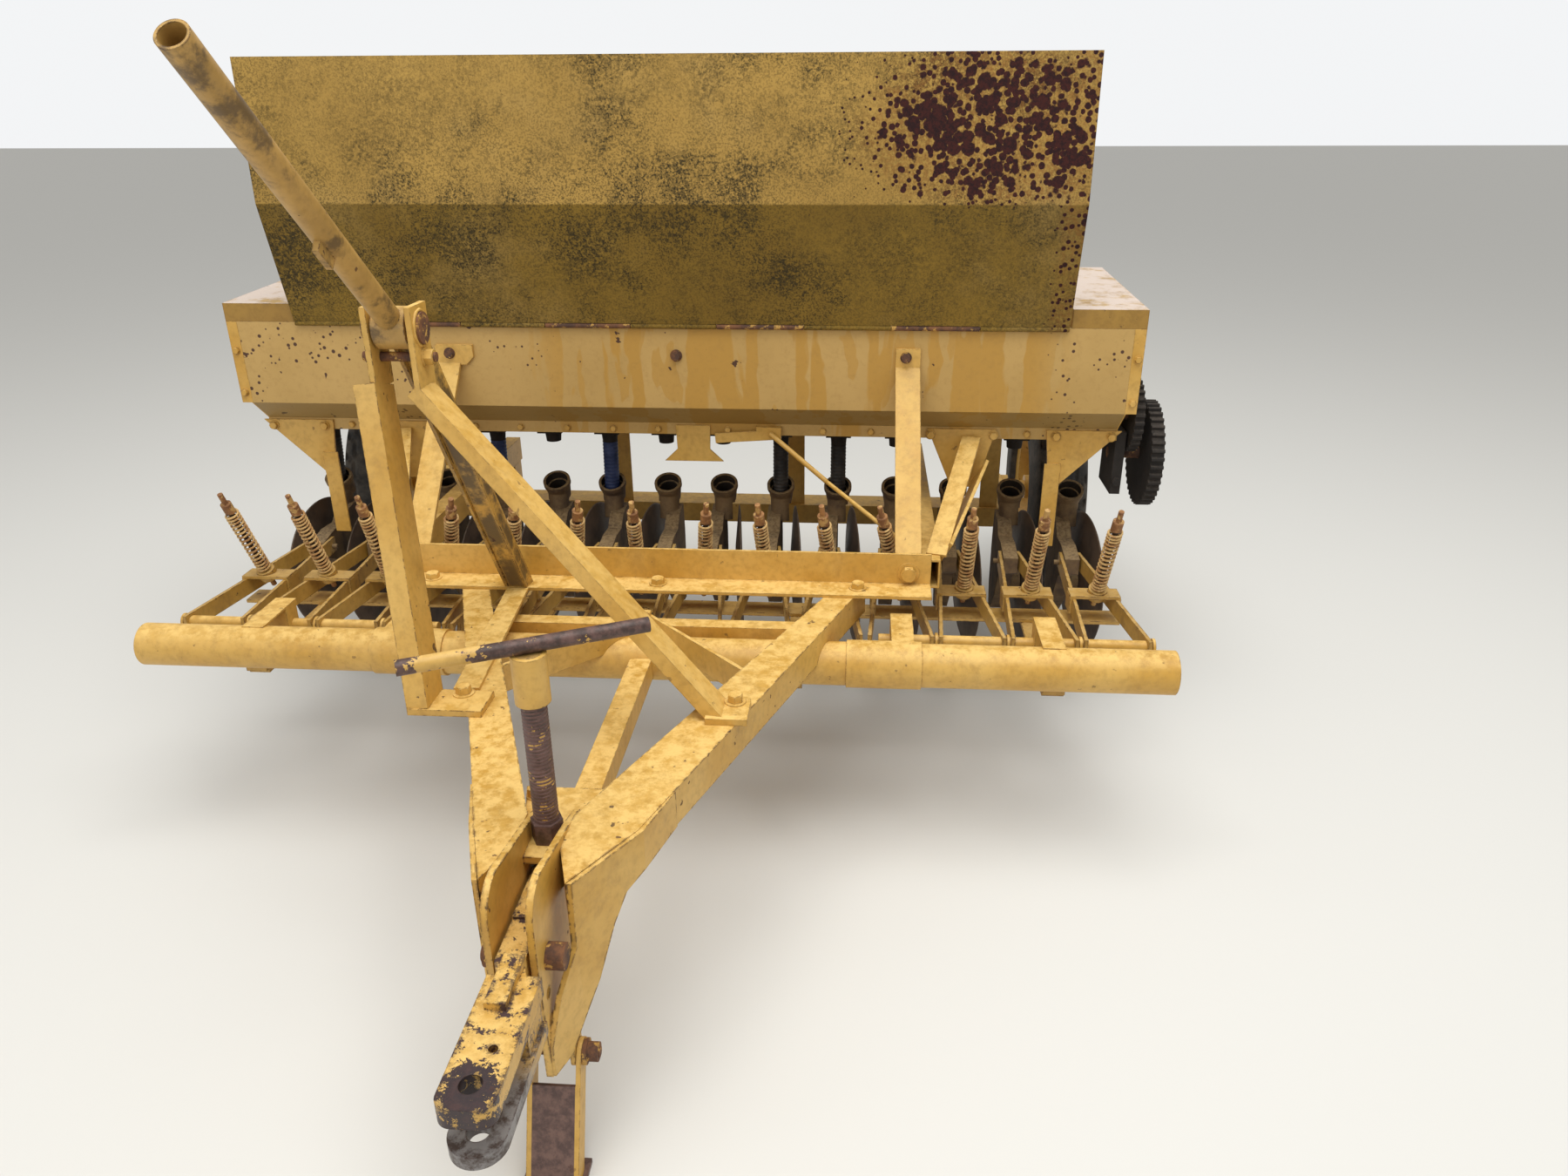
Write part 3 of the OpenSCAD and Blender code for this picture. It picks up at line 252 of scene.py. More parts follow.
pale, deep = (0.65, 0.40, 0.100), (0.55, 0.305, 0.050)
frame_ochre = ochre_paint("frame_ochre", pale, deep)
chipped_ochre = ochre_paint("chipped_ochre", pale, deep, chips=0.75, rust=0.8, edge=0.006)
drag_ochre = ochre_paint("drag_ochre", (0.52, 0.315, 0.075), (0.40, 0.225, 0.040), dusty=0.55, chips=0.7,
                         rust=0.8, stains=0.5, dust_tone=(0.62, 0.43, 0.17))
paint_parts(frame_ochre, "drag_rod", "cross_beam", "angle_rail", "drawbar_braces", "uprights", "box_brackets",
            "side_beams", "rear_frame", "wheel_arms", "clutch_link", "centre_guard", "front_tube",
            "mast_right_leg", "rim_left", "rim_right", "box_rear", "box_floor", "box_ends", "box_dividers")
paint_parts(chipped_ochre, "drawbar_arms", "hitch_head")
paint_parts(drag_ochre, "opener_arms", "saddles", "lift_bar")

# Parts that have lost paint
# The tongue is chipped to dark primer and its lower jaw is bare; the stand's channel, the
# spindle and the handle are brown; the lever, the mast's left leg and its brace are dark
# with grease in places; the end covers are grey with dust.


def within(put, value, low, high, soft=0.0004):
    """1 where a number lies between low and high, with soft ends."""
    return times(put, steps(put, value, low - soft, low + soft, smooth=False),
                 steps(put, value, high + soft, high - soft, smooth=False))


def brown_mix(put, place, dark, light):
    """Mottled brown."""
    return mixed(put, steps(put, grain(put, place, 55.0, 5.0, 0.7), 0.35, 0.65), dark, light)


def tongue_wear(put, place):
    """Primer round the pin's hole, along the edges and at the front, and bare steel on the lower jaw. The pin
    is at the origin, so the distance to it is the length of (x, y)."""
    bright_steel, stained_steel = (0.22, 0.205, 0.20), (0.060, 0.038, 0.030)
    dark_primer, red_primer = (0.026, 0.015, 0.018), (0.060, 0.028, 0.026)
    x, y, z = (along_axis(put, place, axis) for axis in "XYZ")
    flakes = grain(put, place, 42.0, 8.0, 0.78)
    to_pin = vector_sum(put, "LENGTH", put("CombineXYZ", X=x, Y=y, Z=0.0))
    bared = times(put, steps(put, to_pin, 0.042, 0.022), 0.09)
    bared = plus(put, bared, times(put, steps(put, y, 0.06, -0.045), 0.085))
    bared = plus(put, bared, times(put, worn_edges(put, 0.014, 0.01, 0.10), 0.075))
    gone = steps(put, plus(put, flakes, bared), 0.555, 0.570)
    primer = mixed(put, steps(put, flakes, 0.45, 0.7), dark_primer, red_primer)
    streaks = steps(put, grain(put, place, 40.0, 5.0, 0.7), 0.42, 0.60)
    steel = mixed(put, streaks, bright_steel, stained_steel)
    lower_jaw = steps(put, z, -0.010, -0.016, smooth=False)
    shown = larger(put, gone, times(put, lower_jaw, steps(put, y, 0.14, 0.06)), share=True)
    return shown, mixed(put, lower_jaw, primer, steel)


def stand_wear(put, place):
    """A brown channel between two yellow sides, on a brown foot."""
    channel = within(put, along_axis(put, place, "X"), -0.0225, 0.0405)
    foot = steps(put, along_axis(put, place, "Z"), -0.3630, -0.3640, smooth=False)
    shown = larger(put, channel, foot, share=True)
    return shown, brown_mix(put, place, (0.075, 0.040, 0.034), (0.17, 0.095, 0.075))


def jack_wear(put, place):
    """Brown spindle and handle. The cap is yellow, and the handle's left end keeps scraps of yellow."""
    z = along_axis(put, place, "Z")
    cap = within(put, z, 0.3168, 0.3915)
    handle = within(put, z, 0.3915, 0.4600)
    left_end = times(put, handle, steps(put, along_axis(put, place, "X"), -0.02, -0.12))
    flakes = grain(put, place, 26.0, 5.0, 0.7)
    scraps = steps(put, plus(put, flakes, times(put, left_end, 0.12)), 0.58, 0.60)
    shown = times(put, less(put, 1.0, cap), less(put, 1.0, times(put, scraps, 0.9)))
    return shown, brown_mix(put, place, (0.045, 0.024, 0.019), (0.13, 0.070, 0.058))


def patches(scale, low, high, under, share, stretch=(1.0, 1.0, 1.0), shift=None):
    """The function for a wear of clouds in one colour with ragged edges."""
    def wear(put, place):
        cloud = steps(put, grain(put, place, scale, 6.0, 0.7, stretch, shift), low, high)
        return times(put, cloud, share), under
    return wear


def greasy_channel(put, place):
    """Dark grease on the flats, whose edges are rubbed back to yellow."""
    cloud = steps(put, grain(put, place, 14.0, 6.0, 0.72), 0.34, 0.52)
    flats = less(put, 1.0, worn_edges(put, 0.012, 0.01, 0.08))
    return times(put, times(put, cloud, flats), 0.86), (0.050, 0.036, 0.022)


def dust_sheet(put, place):
    """Grey dust that lies thickly on top."""
    up = facing_up(put)
    cloud = steps(put, grain(put, place, 12.0, 5.0, 0.7), 0.30, 0.52)
    return times(put, times(put, steps(put, up, 0.6, 0.9), cloud), 0.92), (0.66, 0.56, 0.50)


lever_grease = patches(9.0, 0.50, 0.62, (0.055, 0.036, 0.022), 0.75)
leg_grease = patches(7.0, 0.60, 0.64, (0.070, 0.042, 0.028), 0.9, (1.0, 1.0, 0.5), (0.4, 0.0, 0.2))
paint_parts(ochre_paint("tongue_ochre", pale, deep, dusty=0.6, chips=0.6, worn=tongue_wear), "tongue")
paint_parts(ochre_paint("stand_ochre", pale, deep, worn=stand_wear), "parking_stand")
paint_parts(ochre_paint("jack_ochre", pale, deep, dusty=0.5, worn=jack_wear), "screw_jack")
paint_parts(ochre_paint("lever_ochre", (0.50, 0.30, 0.085), (0.34, 0.20, 0.05), dusty=0.4, chips=0.8,
                        rust=0.8, worn=lever_grease), "lift_lever")
paint_parts(ochre_paint("leg_ochre", pale, deep, dusty=0.6, chips=0.8, rust=0.8, worn=leg_grease),
            "mast_left_leg")
paint_parts(ochre_paint("brace_ochre", pale, deep, dusty=0.4, chips=0.8, rust=0.8, worn=greasy_channel),
            "mast_brace")
paint_parts(ochre_paint("cover_ochre", (0.36, 0.205, 0.036), (0.29, 0.155, 0.024), dusty=0.3,
                        worn=dust_sheet), "end_covers")

# Seed box face
# Folded sheet. Its paint has gone chalky and pale, and rain from the lid has washed long
# runs back to the deeper ochre. Rust spots stand in groups towards both ends.


def round_spots(put, place, scale, radius):
    """1 inside round spots, one to a cell of the scale, whose radius is a share of the cell."""
    away = put("TexVoronoi", Vector=place, Scale=scale)
    return steps(put, less(put, away, radius), 0.04, -0.04)


def washed_paint(name):
    """Chalky paint with upright runs of deeper ochre that end in drips, groups of rust spots, and painted
    shade on faces that look down.
    """
    pale_chalk, deep_chalk = (0.53, 0.340, 0.112), (0.46, 0.290, 0.088)
    washed_ochre, grime = (0.47, 0.262, 0.048), (0.30, 0.17, 0.04)
    rust, under_shade = (0.075, 0.030, 0.014), (0.15, 0.105, 0.030)
    material, put = finish_sheet(name)
    place = put("TexCoord", out="Object")
    bend = grain(put, place, 5.0, 3.0, 0.5)
    sway = put("VectorMath", settings={"operation": "SCALE"}, i0=bend, Scale=0.07)
    swayed = vector_sum(put, "ADD", place, sway)
    runs = grain(put, swayed, 11.0, 3.5, 0.55, stretch=(1.0, 1.0, 0.06), shift=(0.35, 0.0, 0.0))
    drips = grain(put, swayed, 20.0, 2.0, 0.5, stretch=(1.0, 1.0, 0.22), shift=(4.0, 0.0, 0.0))
    across = along_axis(put, place, "X")
    middle = times(put, steps(put, across, -0.42, -0.22), steps(put, across, 0.92, 0.80))
    washed = larger(put, steps(put, runs, 0.505, 0.53), times(put, steps(put, drips, 0.60, 0.62), 0.75))
    washed = times(put, washed, middle)
    fine = grain(put, place, 85.0, 3.0, 0.6)
    broad = grain(put, place, 3.0, 4.0, 0.6)
    chalk = mixed(put, steps(put, broad, 0.3, 0.7), pale_chalk, deep_chalk)
    colour = mixed(put, washed, chalk, washed_ochre)
    colour = mixed(put, times(put, steps(put, fine, 0.45, 0.8), 0.25), colour, grime)
    spots = steps(put, grain(put, place, 26.0, 3.0, 0.6, shift=(1.0, 2.0, 0.3)), 0.70, 0.72)
    group = steps(put, grain(put, place, 5.0, 3.0, 0.5), 0.47, 0.60)
    group = times(put, group, less(put, 1.0, middle))
    spots = larger(put, spots, round_spots(put, place, 58.0, times(put, group, 0.26)))
    flaked = steps(put, grain(put, place, 55.0, 4.0, 0.7), 0.50, 0.60)
    edges = times(put, worn_edges(put, 0.003), flaked)
    bare = larger(put, spots, times(put, edges, 0.6), share=True)
    colour = mixed(put, bare, colour, rust)
    # Painted shade: darker where the surface faces down.
    colour = mixed(put, times(put, steps(put, facing_up(put), -0.2, -0.5), 0.45), colour, under_shade)
    normal = relief(put, less(put, fine, bare), 0.2, 0.0008, 0.0016)
    skin(put, Base_Color=colour, Roughness=0.58, Normal=normal)
    return material


paint_parts(washed_paint("washed_ochre"), "box_front")

# Lid
# A folded sheet standing open on its front hinge, so the camera sees its outside. Black
# mould is speckled over it, thicker lower down, and rust has eaten a patch at the right.
# Below the fold the paint is darkened as painted shade.


def mouldy_paint(name):
    """Golden paint under speckled mould, with painted shade below the lid's fold, and a patch of rust spots
    at the upper right. The patch thins out with the distance from its middle, seen from the front."""
    fold_height, patch_middle, patch_squash = 0.875, (0.70, 1.536, 1.02), (1.0, 0.0, 1.7)
    pale_gold, deep_gold = (0.44, 0.275, 0.070), (0.35, 0.215, 0.052)
    pale_shade, deep_shade = (0.25, 0.155, 0.026), (0.19, 0.115, 0.020)
    chalk, mould_black = (0.47, 0.33, 0.13), (0.040, 0.030, 0.012)
    red_rust, dark_rust, rust_stain = (0.050, 0.012, 0.010), (0.020, 0.007, 0.008), (0.24, 0.095, 0.022)
    dot_brown, edge_brown = (0.030, 0.014, 0.010), (0.06, 0.028, 0.014)
    material, put = finish_sheet(name)
    place = put("TexCoord", out="Object")
    side, height = along_axis(put, place, "X"), along_axis(put, place, "Z")
    broad = grain(put, place, 2.6, 5.0, 0.62)
    blotch = grain(put, place, 6.0, 7.0, 0.74, shift=(2.0, 0.0, 0.4))
    speck = grain(put, place, 230.0, 3.0, 0.7)
    dots = grain(put, place, 110.0, 5.0, 0.8)

    # Painted shade: below the fold the gold gives way to its darker shaded copy.
    upper = steps(put, height, fold_height - 0.003, fold_height + 0.003)
    golden = mixed(put, steps(put, broad, 0.35, 0.7), pale_gold, deep_gold)
    shaded = mixed(put, steps(put, broad, 0.35, 0.7), pale_shade, deep_shade)
    veil = steps(put, grain(put, place, 3.2, 4.0, 0.6, shift=(0.0, 3.0, 7.0)), 0.5, 0.75)
    colour = mixed(put, upper, shaded, golden)
    colour = mixed(put, times(put, veil, 0.28), colour, chalk)

    mould = times(put, steps(put, blotch, 0.40, 0.60), steps(put, dots, 0.42, 0.53))
    mould = plus(put, times(put, mould, 0.58), times(put, steps(put, speck, 0.47, 0.57), 0.46))
    clouds = steps(put, grain(put, place, 2.4, 5.0, 0.6, shift=(5.0, 0.0, 2.0)), 0.42, 0.62)
    mould = times(put, mould, plus(put, times(put, clouds, 0.7), 0.7))
    thinner = put("MapRange", Value=height, From_Min=0.78, From_Max=1.00, To_Min=1.0, To_Max=0.80)
    colour = mixed(put, times(put, mould, thinner), colour, mould_black)
    colour = mixed(put, times(put, steps(put, dots, 0.655, 0.675), 0.9), colour, dot_brown)

    away = vector_sum(put, "MULTIPLY", vector_sum(put, "SUBTRACT", place, patch_middle), patch_squash)
    patch = steps(put, vector_sum(put, "LENGTH", away), 0.46, 0.10)
    crowd = times(put, times(put, patch, steps(put, height, 0.84, 0.90)),
                  times(put, grain(put, place, 15.0, 6.0, 0.7), 2.5))
    right_edge = times(put, steps(put, side, 0.80, 0.86), times(put, grain(put, place, 9.0), 1.5))
    crowd = larger(put, crowd, right_edge)
    small = round_spots(put, place, 70.0, times(put, crowd, 0.44))
    large = round_spots(put, place, 34.0, less(put, times(put, crowd, 0.50), 0.13))
    eaten = larger(put, small, large, share=True)
    halo = times(put, steps(put, crowd, 0.35, 0.95), steps(put, dots, 0.40, 0.62))
    colour = mixed(put, times(put, halo, 0.55), colour, rust_stain)
    colour = mixed(put, eaten, colour, mixed(put, steps(put, dots, 0.40, 0.60), red_rust, dark_rust))

    edges = times(put, worn_edges(put, 0.003), steps(put, dots, 0.45, 0.58))
    colour = mixed(put, times(put, edges, 0.55), colour, edge_brown)
    normal = relief(put, less(put, times(put, speck, 0.6), eaten), 0.4, 0.0009, 0.0014)
    skin(put, Base_Color=colour, Roughness=0.85, Normal=normal, Specular_IOR_Level=0.25)
    return material


paint_parts(mouldy_paint("mouldy_ochre"), "lid")

# Castings and dark gear
# The boots are rough castings whose paint is buried in brown dust, and shade is painted
# dark inside their funnels. Feed cups, gears and their case are black with old grease and fluff.
row_start, row_pitch, row_count = -0.975, 0.150, 14
funnel_point = (row_start, 1.8455, 0.1429)  # on the axis of the first boot's funnel
funnel_axis = (0.0, -0.4695, 0.8829)


def shade_inside_funnels(put, place):
    """1 on the inner walls of the boots' funnels, where the normal points towards the funnel's axis: where
    shade is painted. The boots repeat along X, so a place is first wrapped round to the first row."""
    beyond = 9.0  # further than the machine reaches, so that only X is wrapped
    from_point = vector_sum(put, "SUBTRACT", place, funnel_point)
    near = vector_sum(put, "WRAP", from_point, (row_pitch / 2, beyond, beyond),
                      (-row_pitch / 2, -beyond, -beyond))
    along = vector_sum(put, "DOT_PRODUCT", near, funnel_axis)
    on_axis = put("CombineXYZ", X=0.0, Y=times(put, along, funnel_axis[1]),
                  Z=times(put, along, funnel_axis[2]))
    out = vector_sum(put, "SUBTRACT", near, on_axis)
    turned_out = vector_sum(put, "DOT_PRODUCT", out, put("NewGeometry", out="Normal"))
    inward = times(put, steps(put, turned_out, -0.002, -0.010),
                   steps(put, vector_sum(put, "LENGTH", out), 0.033, 0.031))
    return times(put, inward, within(put, along, -0.30, 0.045))


def cast_skin(name, base, deep, dusted, dusty=0.7, rough=0.85, painted_shade=None):
    """A rough sand-cast skin with brown patches, dusted from above. Where it is given, the last argument
    gives the share of the surface that is painted near black as shade."""
    painted_shade_colour = (0.012, 0.010, 0.009)
    material, put = finish_sheet(name)
    place = put("TexCoord", out="Object")
    broad = grain(put, place, 14.0, 5.0, 0.65)
    fine = grain(put, place, 120.0, 4.0, 0.7)
    colour = mixed(put, steps(put, broad, 0.38, 0.66), base, deep)
    dust = times(put, steps(put, facing_up(put), -0.1, 0.9), steps(put, fine, 0.3, 0.62))
    colour = mixed(put, times(put, dust, dusty), colour, dusted)
    edges = times(put, worn_edges(put, 0.003), steps(put, fine, 0.42, 0.6))
    colour = mixed(put, times(put, edges, 0.4), colour, dusted)
    if painted_shade:
        # Painted shade: near black where the surface lies in a dark recess.
        colour = mixed(put, times(put, painted_shade(put, place), 0.85), colour, painted_shade_colour)
    normal = relief(put, plus(put, broad, times(put, fine, 0.6)), 0.5, 0.0012, 0.003)
    skin(put, Base_Color=colour, Roughness=rough, Normal=normal)
    return material


boot_skin = cast_skin("dusty_boots", (0.19, 0.120, 0.055), (0.085, 0.052, 0.032), (0.36, 0.255, 0.125),
                      painted_shade=shade_inside_funnels)
greasy_iron = cast_skin("greasy_iron", (0.024, 0.019, 0.016), (0.012, 0.010, 0.009), (0.085, 0.066, 0.050),
                        dusty=0.45)
paint_parts(boot_skin, "opener_boots")
paint_parts(greasy_iron, "feed_cups", "drive_gears", "gear_case")

# Rusty steel and discs
# Bolts, spring rods, shafts, hinge pin and the lever's tube are brown with an orange bloom
# and a little ochre left in the hollows. The discs are bare steel, dull brown with soil.


def rusty_steel(name, dark, orange, ochre, left, shaded=None):
    """Brown steel with an orange bloom and scraps of ochre paint. Where two heights are given, it is painted
    nearly black between them as shade."""
    cut = 0.62 - left * 0.25
    material, put = finish_sheet(name)
    place = put("TexCoord", out="Object")
    broad = grain(put, place, 30.0, 6.0, 0.7)
    fine = grain(put, place, 160.0, 4.0, 0.7)
    colour = mixed(put, steps(put, broad, 0.40, 0.62), dark, orange)
    scraps = steps(put, grain(put, place, 48.0, 5.0, 0.7, shift=(9.0, 0.0, 2.0)), cut, cut + 0.04)
    scraps = times(put, scraps, steps(put, fine, 0.3, 0.45))
    colour = mixed(put, scraps, colour, ochre)
    if shaded:
        # Painted shade: nearly black where the coil spring wraps the rod.
        painted_coil_shade = within(put, along_axis(put, place, "Z"), *shaded)
        colour = mixed(put, times(put, painted_coil_shade, 0.92), colour, (0.020, 0.012, 0.009))
    normal = relief(put, plus(put, fine, broad), 0.6, 0.0008, 0.001)
    skin(put, Base_Color=colour, Roughness=0.82, Normal=normal)
    return material


brown_steel = rusty_steel("brown_steel", (0.075, 0.038, 0.026), (0.20, 0.085, 0.035), (0.50, 0.29, 0.07),
                          0.25)
# The spring rods carry painted shade between these heights, inside the coils.
rod_steel = rusty_steel("rod_steel", (0.20, 0.090, 0.036), (0.38, 0.190, 0.070), (0.52, 0.33, 0.12), 0.4,
                        shaded=(0.045, 0.228))
disc_steel = cast_skin("disc_steel", (0.12, 0.080, 0.055), (0.06, 0.042, 0.032), (0.21, 0.16, 0.11),
                       dusty=0.5, rough=0.6)
paint_parts(brown_steel, "hitch_bolts", "drive_shafts", "lid_hinge", "mast_tube")
paint_parts(rod_steel, "spring_rods")
paint_parts(disc_steel, *[name for name in parts if name.startswith("disc_")])

# Coil springs
# One compression spring of 5.4 mm wire round each spring rod, held between the saddle and
# the collar near the rod's top. They have rusted to a dusty orange.
orange_steel = rusty_steel("orange_steel", (0.36, 0.185, 0.070), (0.52, 0.300, 0.115), (0.64, 0.43, 0.18),
                           0.6)
row_x = row_start + row_pitch * np.arange(row_count)
rod_lean = np.array([-14, -8, 0, 62, 52, 44, 12, 26, -13, -25, -50, 0, 4, 8]) / 1000.0  # sideways, at the top
rod_foot, rod_top = (218, 434), (128, 652)  # how far behind the drag rod and above the ground
collar_room = 0.054  # from a rod's top to its spring


def at_pin(places):
    """Metres from the hitch pin, for places in millimetres behind the drag rod and above the ground."""
    drag_rod_y = 1196.0
    return (np.asarray(places, float) + [0.0, drag_rod_y, 1000.0 * ground]) / 1000.0


def new_piece(name, shapes, material, body, stands_for=None, smooth=True):
    """A mesh object from shapes, each an array of points and one of quads, with its finish and body. Where it
    is given, the CAD part that it stands for is hidden. A shape's quads are turned round where the volume
    that they enclose comes out negative."""
    points, faces, count = [], [], 0
    for corners, quads in shapes:
        a, b, c, d = (corners[quads[:, n]] for n in range(4))
        volume = (np.cross(a, b) * c + np.cross(a, c) * d).sum()
        points.append(corners)
        faces.append((quads if volume > 0 else quads[:, ::-1]) + count)
        count += len(corners)
    mesh = bpy.data.meshes.new(name)
    mesh.from_pydata(np.concatenate(points).tolist(), [], np.concatenate(faces).tolist())
    mesh.polygons.foreach_set("use_smooth", [smooth] * len(mesh.polygons))
    mesh.materials.append(material)
    mesh.update()
    piece = into_scene(name, mesh)
    if stands_for:
        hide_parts(stands_for)
    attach(piece, body)


def full_turn(count):
    """The angles of so many even steps round a circle."""
    return np.arange(count) * 2 * np.pi / count


def square_to(way, guide):
    """Two unit directions square to a way, or to each of many. The first is square to the guide too."""
    side = np.cross(way, guide)
    side /= np.linalg.norm(side, axis=-1, keepdims=True)
    return side, np.cross(way, side)


def ring_faces(rows, cols):
    """Quads between rings of points, each ring closed on itself."""
    r, c = np.meshgrid(np.arange(rows - 1), np.arange(cols), indexing="ij")
    n = (c + 1) % cols
    return np.stack([r * cols + c, r * cols + n, (r + 1) * cols + n, (r + 1) * cols + c], -1).reshape(-1, 4)


def capped_rings(rows, cols):
    """Quads between rings of an even number of points, and rows of quads across the two end rings."""
    i = np.arange(cols // 2 - 1)
    cap = np.stack([i, cols - 1 - i, cols - 2 - i, i + 1], -1)
    return np.concatenate([ring_faces(rows, cols), cap, cap[:, ::-1] + (rows - 1) * cols])


def joined_rings(rows, cols):
    """Quads between rings of points, the last of which is joined to the first."""
    return ring_faces(rows + 1, cols) % (rows * cols)


def swept_wire(centres, radius, sides):
    """A round wire along a row of centres: each ring lies in the plane square to the path. The guide that
    sets how far the rings are turned is steeper than a spring's path ever is."""
    way = np.gradient(centres, axis=0)
    way /= np.linalg.norm(way, axis=1)[:, None]
    across, other = square_to(way, [0.31, 0.17, 0.93])
    turn = full_turn(sides)[None, :, None]
    outward = np.cos(turn) * across[:, None, :] + np.sin(turn) * other[:, None, :]
    rings = centres[:, None, :] + radius * outward
    return rings.reshape(-1, 3), capped_rings(len(centres), sides)


def spring_coil(foot, top, turns=17, radius=0.0142, wire=0.0027, rings_a_turn=16, sides=8):
    """A helix round the line from foot to top, its first and last turns closed up: at a share t of the
    turns it has risen by t - 0.03 sin(2 pi t). wire is the wire's radius."""
    length = np.linalg.norm(top - foot)
    axis = (top - foot) / length
    side, other = square_to(axis, [1.0, 0.0, 0.0])
    t = np.linspace(0.0, 1.0, turns * rings_a_turn + 1)[:, None]
    rise = wire + (length - 2 * wire) * (t - 0.030 * np.sin(2 * np.pi * t))
    angle = 2 * np.pi * turns * t
    outward = np.cos(angle) * side + np.sin(angle) * other
    return swept_wire(foot + rise * axis + radius * outward, wire, sides)


coils = []
for x, lean in zip(row_x, rod_lean):
    foot = at_pin([(x + lean * 0.08) * 1000, *rod_foot])
    top = at_pin([(x + lean) * 1000, *rod_top])
    coils.append(spring_coil(foot, top - collar_room * (top - foot) / np.linalg.norm(top - foot)))
new_piece("coil_springs", coils, orange_steel, "frame", "springs")

# Seed tubes
# Five ribbed rubber tubes are left between the feed cups and the boots: most black, two
# of them a deep blue.
tube_rows, blue_rows = (0, 3, 5, 8, 9), (3, 5)
tube_radius, rib_height, bore_radius, tube_sides = 19.5, 0.6, 16.0, 28
spout_y, tube_lean = 656.0, 11.0
rubber, put = finish_sheet("tube_rubber_skin")
place = put("TexCoord", out="Object")
across = along_axis(put, place, "X")
blue = larger(put, *[within(put, across, row_x[k] - 0.025, row_x[k] + 0.025) for k in blue_rows])
dusted = steps(put, grain(put, place, 25.0), 0.4, 0.7)
black_rubber = mixed(put, dusted, (0.012, 0.012, 0.014), (0.05, 0.045, 0.04))
blue_rubber = mixed(put, dusted, (0.012, 0.030, 0.11), (0.045, 0.075, 0.20))
skin(put, Base_Color=mixed(put, blue, black_rubber, blue_rubber), Roughness=0.6)


def ribbed_tube(x, top=632.0, low=504.0, ribs=14, rings_a_rib=8):
    """A hose wall of level rings whose middles lean forward from the spout to the funnel. At a share t of
    the way down, its outer radius is tube_radius + rib_height cos(2 pi ribs t). The last two rings are the
    bore, whose radius doesn't change."""
    t = np.linspace(0.0, 1.0, ribs * rings_a_rib + 1)
    outer = tube_radius + rib_height * np.cos(2 * np.pi * ribs * t)
    down = np.append(t, [1.0, 0.0])[:, None]
    radius = np.append(outer, [bore_radius, bore_radius])[:, None]
    turn = full_turn(tube_sides)
    y = spout_y - tube_lean * down + radius * np.sin(turn)
    z = np.broadcast_to(top + (low - top) * down, y.shape)
    points = np.stack([x * 1000 + radius * np.cos(turn), y, z], -1).reshape(-1, 3)
    return at_pin(points), joined_rings(len(down), tube_sides)


new_piece("ribbed_seed_tubes", [ribbed_tube(row_x[k]) for k in tube_rows], rubber, "frame",
          "seed_tubes")

# Bolts and welds
# Hexagon heads on washers, each sunk half a millimetre into what it holds: a painted set
# and a rusty set. The two mast plates are welded round the lever's tube.
sunk, washer_thick, head_sides = 0.5, 2.0, 24
mast_left, mast_right = -380, -296  # the outer faces of the two mast plates
pivot_y, pivot_z = -315, 1108
front, up, right, left = (0, -1, 0), (0, 0, 1), (1, 0, 0), (-1, 0, 0)


def hex_head(place, facing, flats, height, washer):
    """A washer with a hexagon on it, as rings about the line through place along facing. Round the hexagon
    the radius is flats / 2 / cos(angle from the middle of a flat), and its top corners are turned off."""
    facing = np.array(facing, float)
    side, other = square_to(facing, [0.0, 0.0, 1.0] if abs(facing[2]) < 0.9 else [1.0, 0.0, 0.0])
    turn = full_turn(head_sides)
    hexagon = flats / 2 / np.cos(turn % (np.pi / 3) - np.pi / 6)
    washer_ring, top_ring = np.full(head_sides, float(washer)), np.full(head_sides, flats / 2)
    radii = np.stack([washer_ring, washer_ring, hexagon, hexagon, top_ring])[:, :, None]
    rises = [-sunk, washer_thick, washer_thick, washer_thick + height * 0.85, washer_thick + height]
    outward = np.cos(turn)[:, None] * side + np.sin(turn)[:, None] * other
    points = np.array(place) + np.array(rises)[:, None, None] * facing + radii * outward
    return at_pin(points.reshape(-1, 3)), capped_rings(len(rises), head_sides)


def weld_ring(x, radius=28.5, bead=3.0, around=48, sides=10):
    """A torus about the lever's pivot: a wavy bead of weld round the tube where it leaves a mast plate."""
    u, v = np.meshgrid(full_turn(around), full_turn(sides), indexing="ij")
    ring = radius + bead * np.cos(v) + 0.5 * np.cos(9 * u) * np.cos(v)
    points = np.stack([x + bead * np.sin(v), pivot_y + ring * np.cos(u), pivot_z + ring * np.sin(u)], -1)
    return at_pin(points.reshape(-1, 3)), joined_rings(around, sides)


# Each head is a place in millimetres from the drag rod and the ground, the way that it faces,
# the width across its flats, its height and its washer's radius.
painted_heads = [((x, 88, 517), front, 30, 14, 24) for x in (-562, 540)]
painted_heads += [((x, 58, 492), up, 26, 12, 19) for x in (-499, 432, 0)]
painted_heads += [((x, -446, 497), up, 24, 14, 19) for x in (-256, 224)]
painted_heads += [((s * x, 465, 717), front, 17, 8, 12) for s in (-1, 1) for x in (597, 746, 893, 1022)]
painted_heads += [((x, 470, 720), front, 13, 5, 8.5) for x in (
    -825, -549, -513, -400, -284, -170, -60, 110, 225, 340, 455, 545, 825)]
painted_heads += [((s * 1047, 410, z), front, 13, 6, 9) for s in (-1, 1) for z in (812, 912)]
painted_heads += [((-64, -690, 459), up, 19, 14, 13), ((mast_right, -313, 1060), right, 24, 14, 17)]
rusty_heads = [((2, 410, 911), front, 19, 10, 14)]
rusty_heads += [((x, 402, 913), front, 19, 9, 13) for x in (-529, 529)]
rusty_heads += [((mast_left, -313, 1060), left, 24, 12, 17)]
new_piece("painted_bolts", [hex_head(*head) for head in painted_heads], frame_ochre, "frame",
          smooth=False)
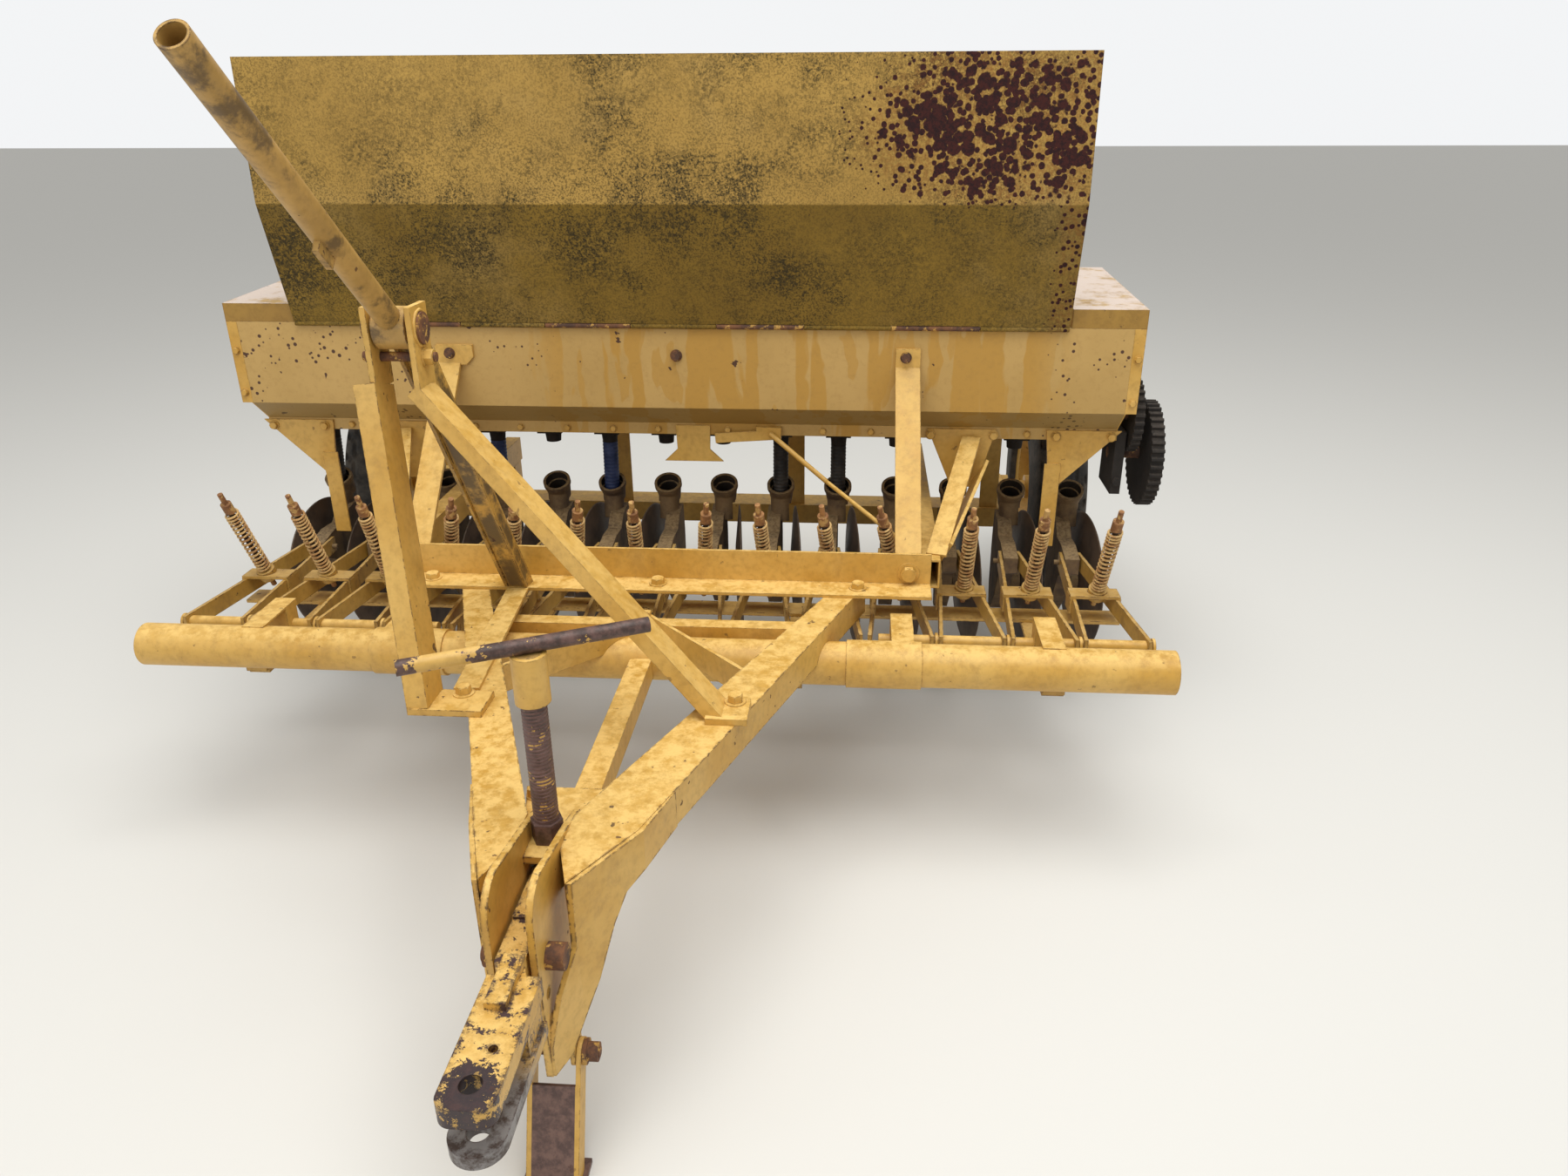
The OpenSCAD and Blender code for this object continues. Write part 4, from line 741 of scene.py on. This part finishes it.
new_piece("rusty_bolts", [hex_head(*head) for head in rusty_heads], brown_steel, "frame",
          smooth=False)
new_piece("mast_welds", [weld_ring(mast_right), weld_ring(mast_left)], frame_ochre, "frame")

# Spindle thread
# The jack's spindle is threaded from its nut up to the cap, and rusted brown.
spindle_x, spindle_y = -15, -790
jack_brown = rusty_steel("jack_brown", (0.090, 0.048, 0.042), (0.16, 0.090, 0.078), (0.46, 0.28, 0.09), -0.2)


def spindle_thread(pitch=6.0, low=493.0, high=689.0, rings=262, sides=28):
    """A thread on the spindle: the radius is 18.1 + 0.5 sin(2 pi z / pitch - turn) mm, and 17 at the ends."""
    z, turn = np.meshgrid(np.linspace(low, high, rings), full_turn(sides), indexing="ij")
    radius = 18.1 + 0.5 * np.sin(2 * np.pi * z / pitch - turn)
    radius[[0, -1]] = 17.0
    points = np.stack([spindle_x + radius * np.cos(turn), spindle_y + radius * np.sin(turn), z], -1)
    return at_pin(points.reshape(-1, 3)), capped_rings(rings, sides)


new_piece("spindle_thread", [spindle_thread()], jack_brown, "frame")

# Tyres
# Narrow cross-ply implement tyres, brown with dust. Their tread is three rows of blocks: one
# round the middle and one on each shoulder.
axle_y, axle_z = 2.376, -0.022
bead_radius, wall_height, half_width = 0.2035, 0.1457, 0.0742
blocks_round, groove_depth = 34, 0.010
row_edge, tread_edge, groove_half = 0.16, 0.52, 0.022  # shares of the way from the middle to a bead
tyre_rubber, put = finish_sheet("dusty_tyre")
place = put("TexCoord", out="Object")
dust = steps(put, grain(put, place, 18.0, 5.0, 0.7), 0.35, 0.7)
rubber_colour = mixed(put, dust, (0.020, 0.019, 0.018), (0.075, 0.062, 0.048))
skin(put, Base_Color=rubber_colour, Roughness=0.85, Normal=relief(put, grain(put, place, 90.0), 0.4, 0.001))


def tyre_surface(centre_x, rows=47, cols=288):
    """A tyre's section carried round the axle. At a share s of the way from the middle to a bead, the half
    width is (1 - (1 - s)^2.4)^0.8 and the height over the bead (1 - s^3.2)^0.6, as shares of the greatest.
    The tread is lower in the grooves between and beside the blocks."""
    across, around = np.meshgrid(np.linspace(-1.0, 1.0, rows), full_turn(cols), indexing="ij")
    side, band = np.sign(across), np.abs(across)
    width = half_width * side * (1 - (1 - band) ** 2.4) ** 0.8
    row = np.where(band < row_edge, 0.0, side)
    block = np.cos(blocks_round * around + 1.6 * row + 5.0 * band) > -0.55
    groove = (band < tread_edge) & (~block | (np.abs(band - row_edge) < groove_half))
    radius = bead_radius + wall_height * (1 - band ** 3.2) ** 0.60 - np.where(groove, groove_depth, 0.0)
    y, z = axle_y + radius * np.cos(around), axle_z + radius * np.sin(around)
    return np.stack([centre_x + width, y, z], -1).reshape(-1, 3), joined_rings(rows, cols)


for side_name, centre_x in (("left", -1.0), ("right", 1.0)):
    new_piece("tread_tyre_" + side_name, [tyre_surface(centre_x)], tyre_rubber, "wheel_" + side_name,
              "tyre_" + side_name)
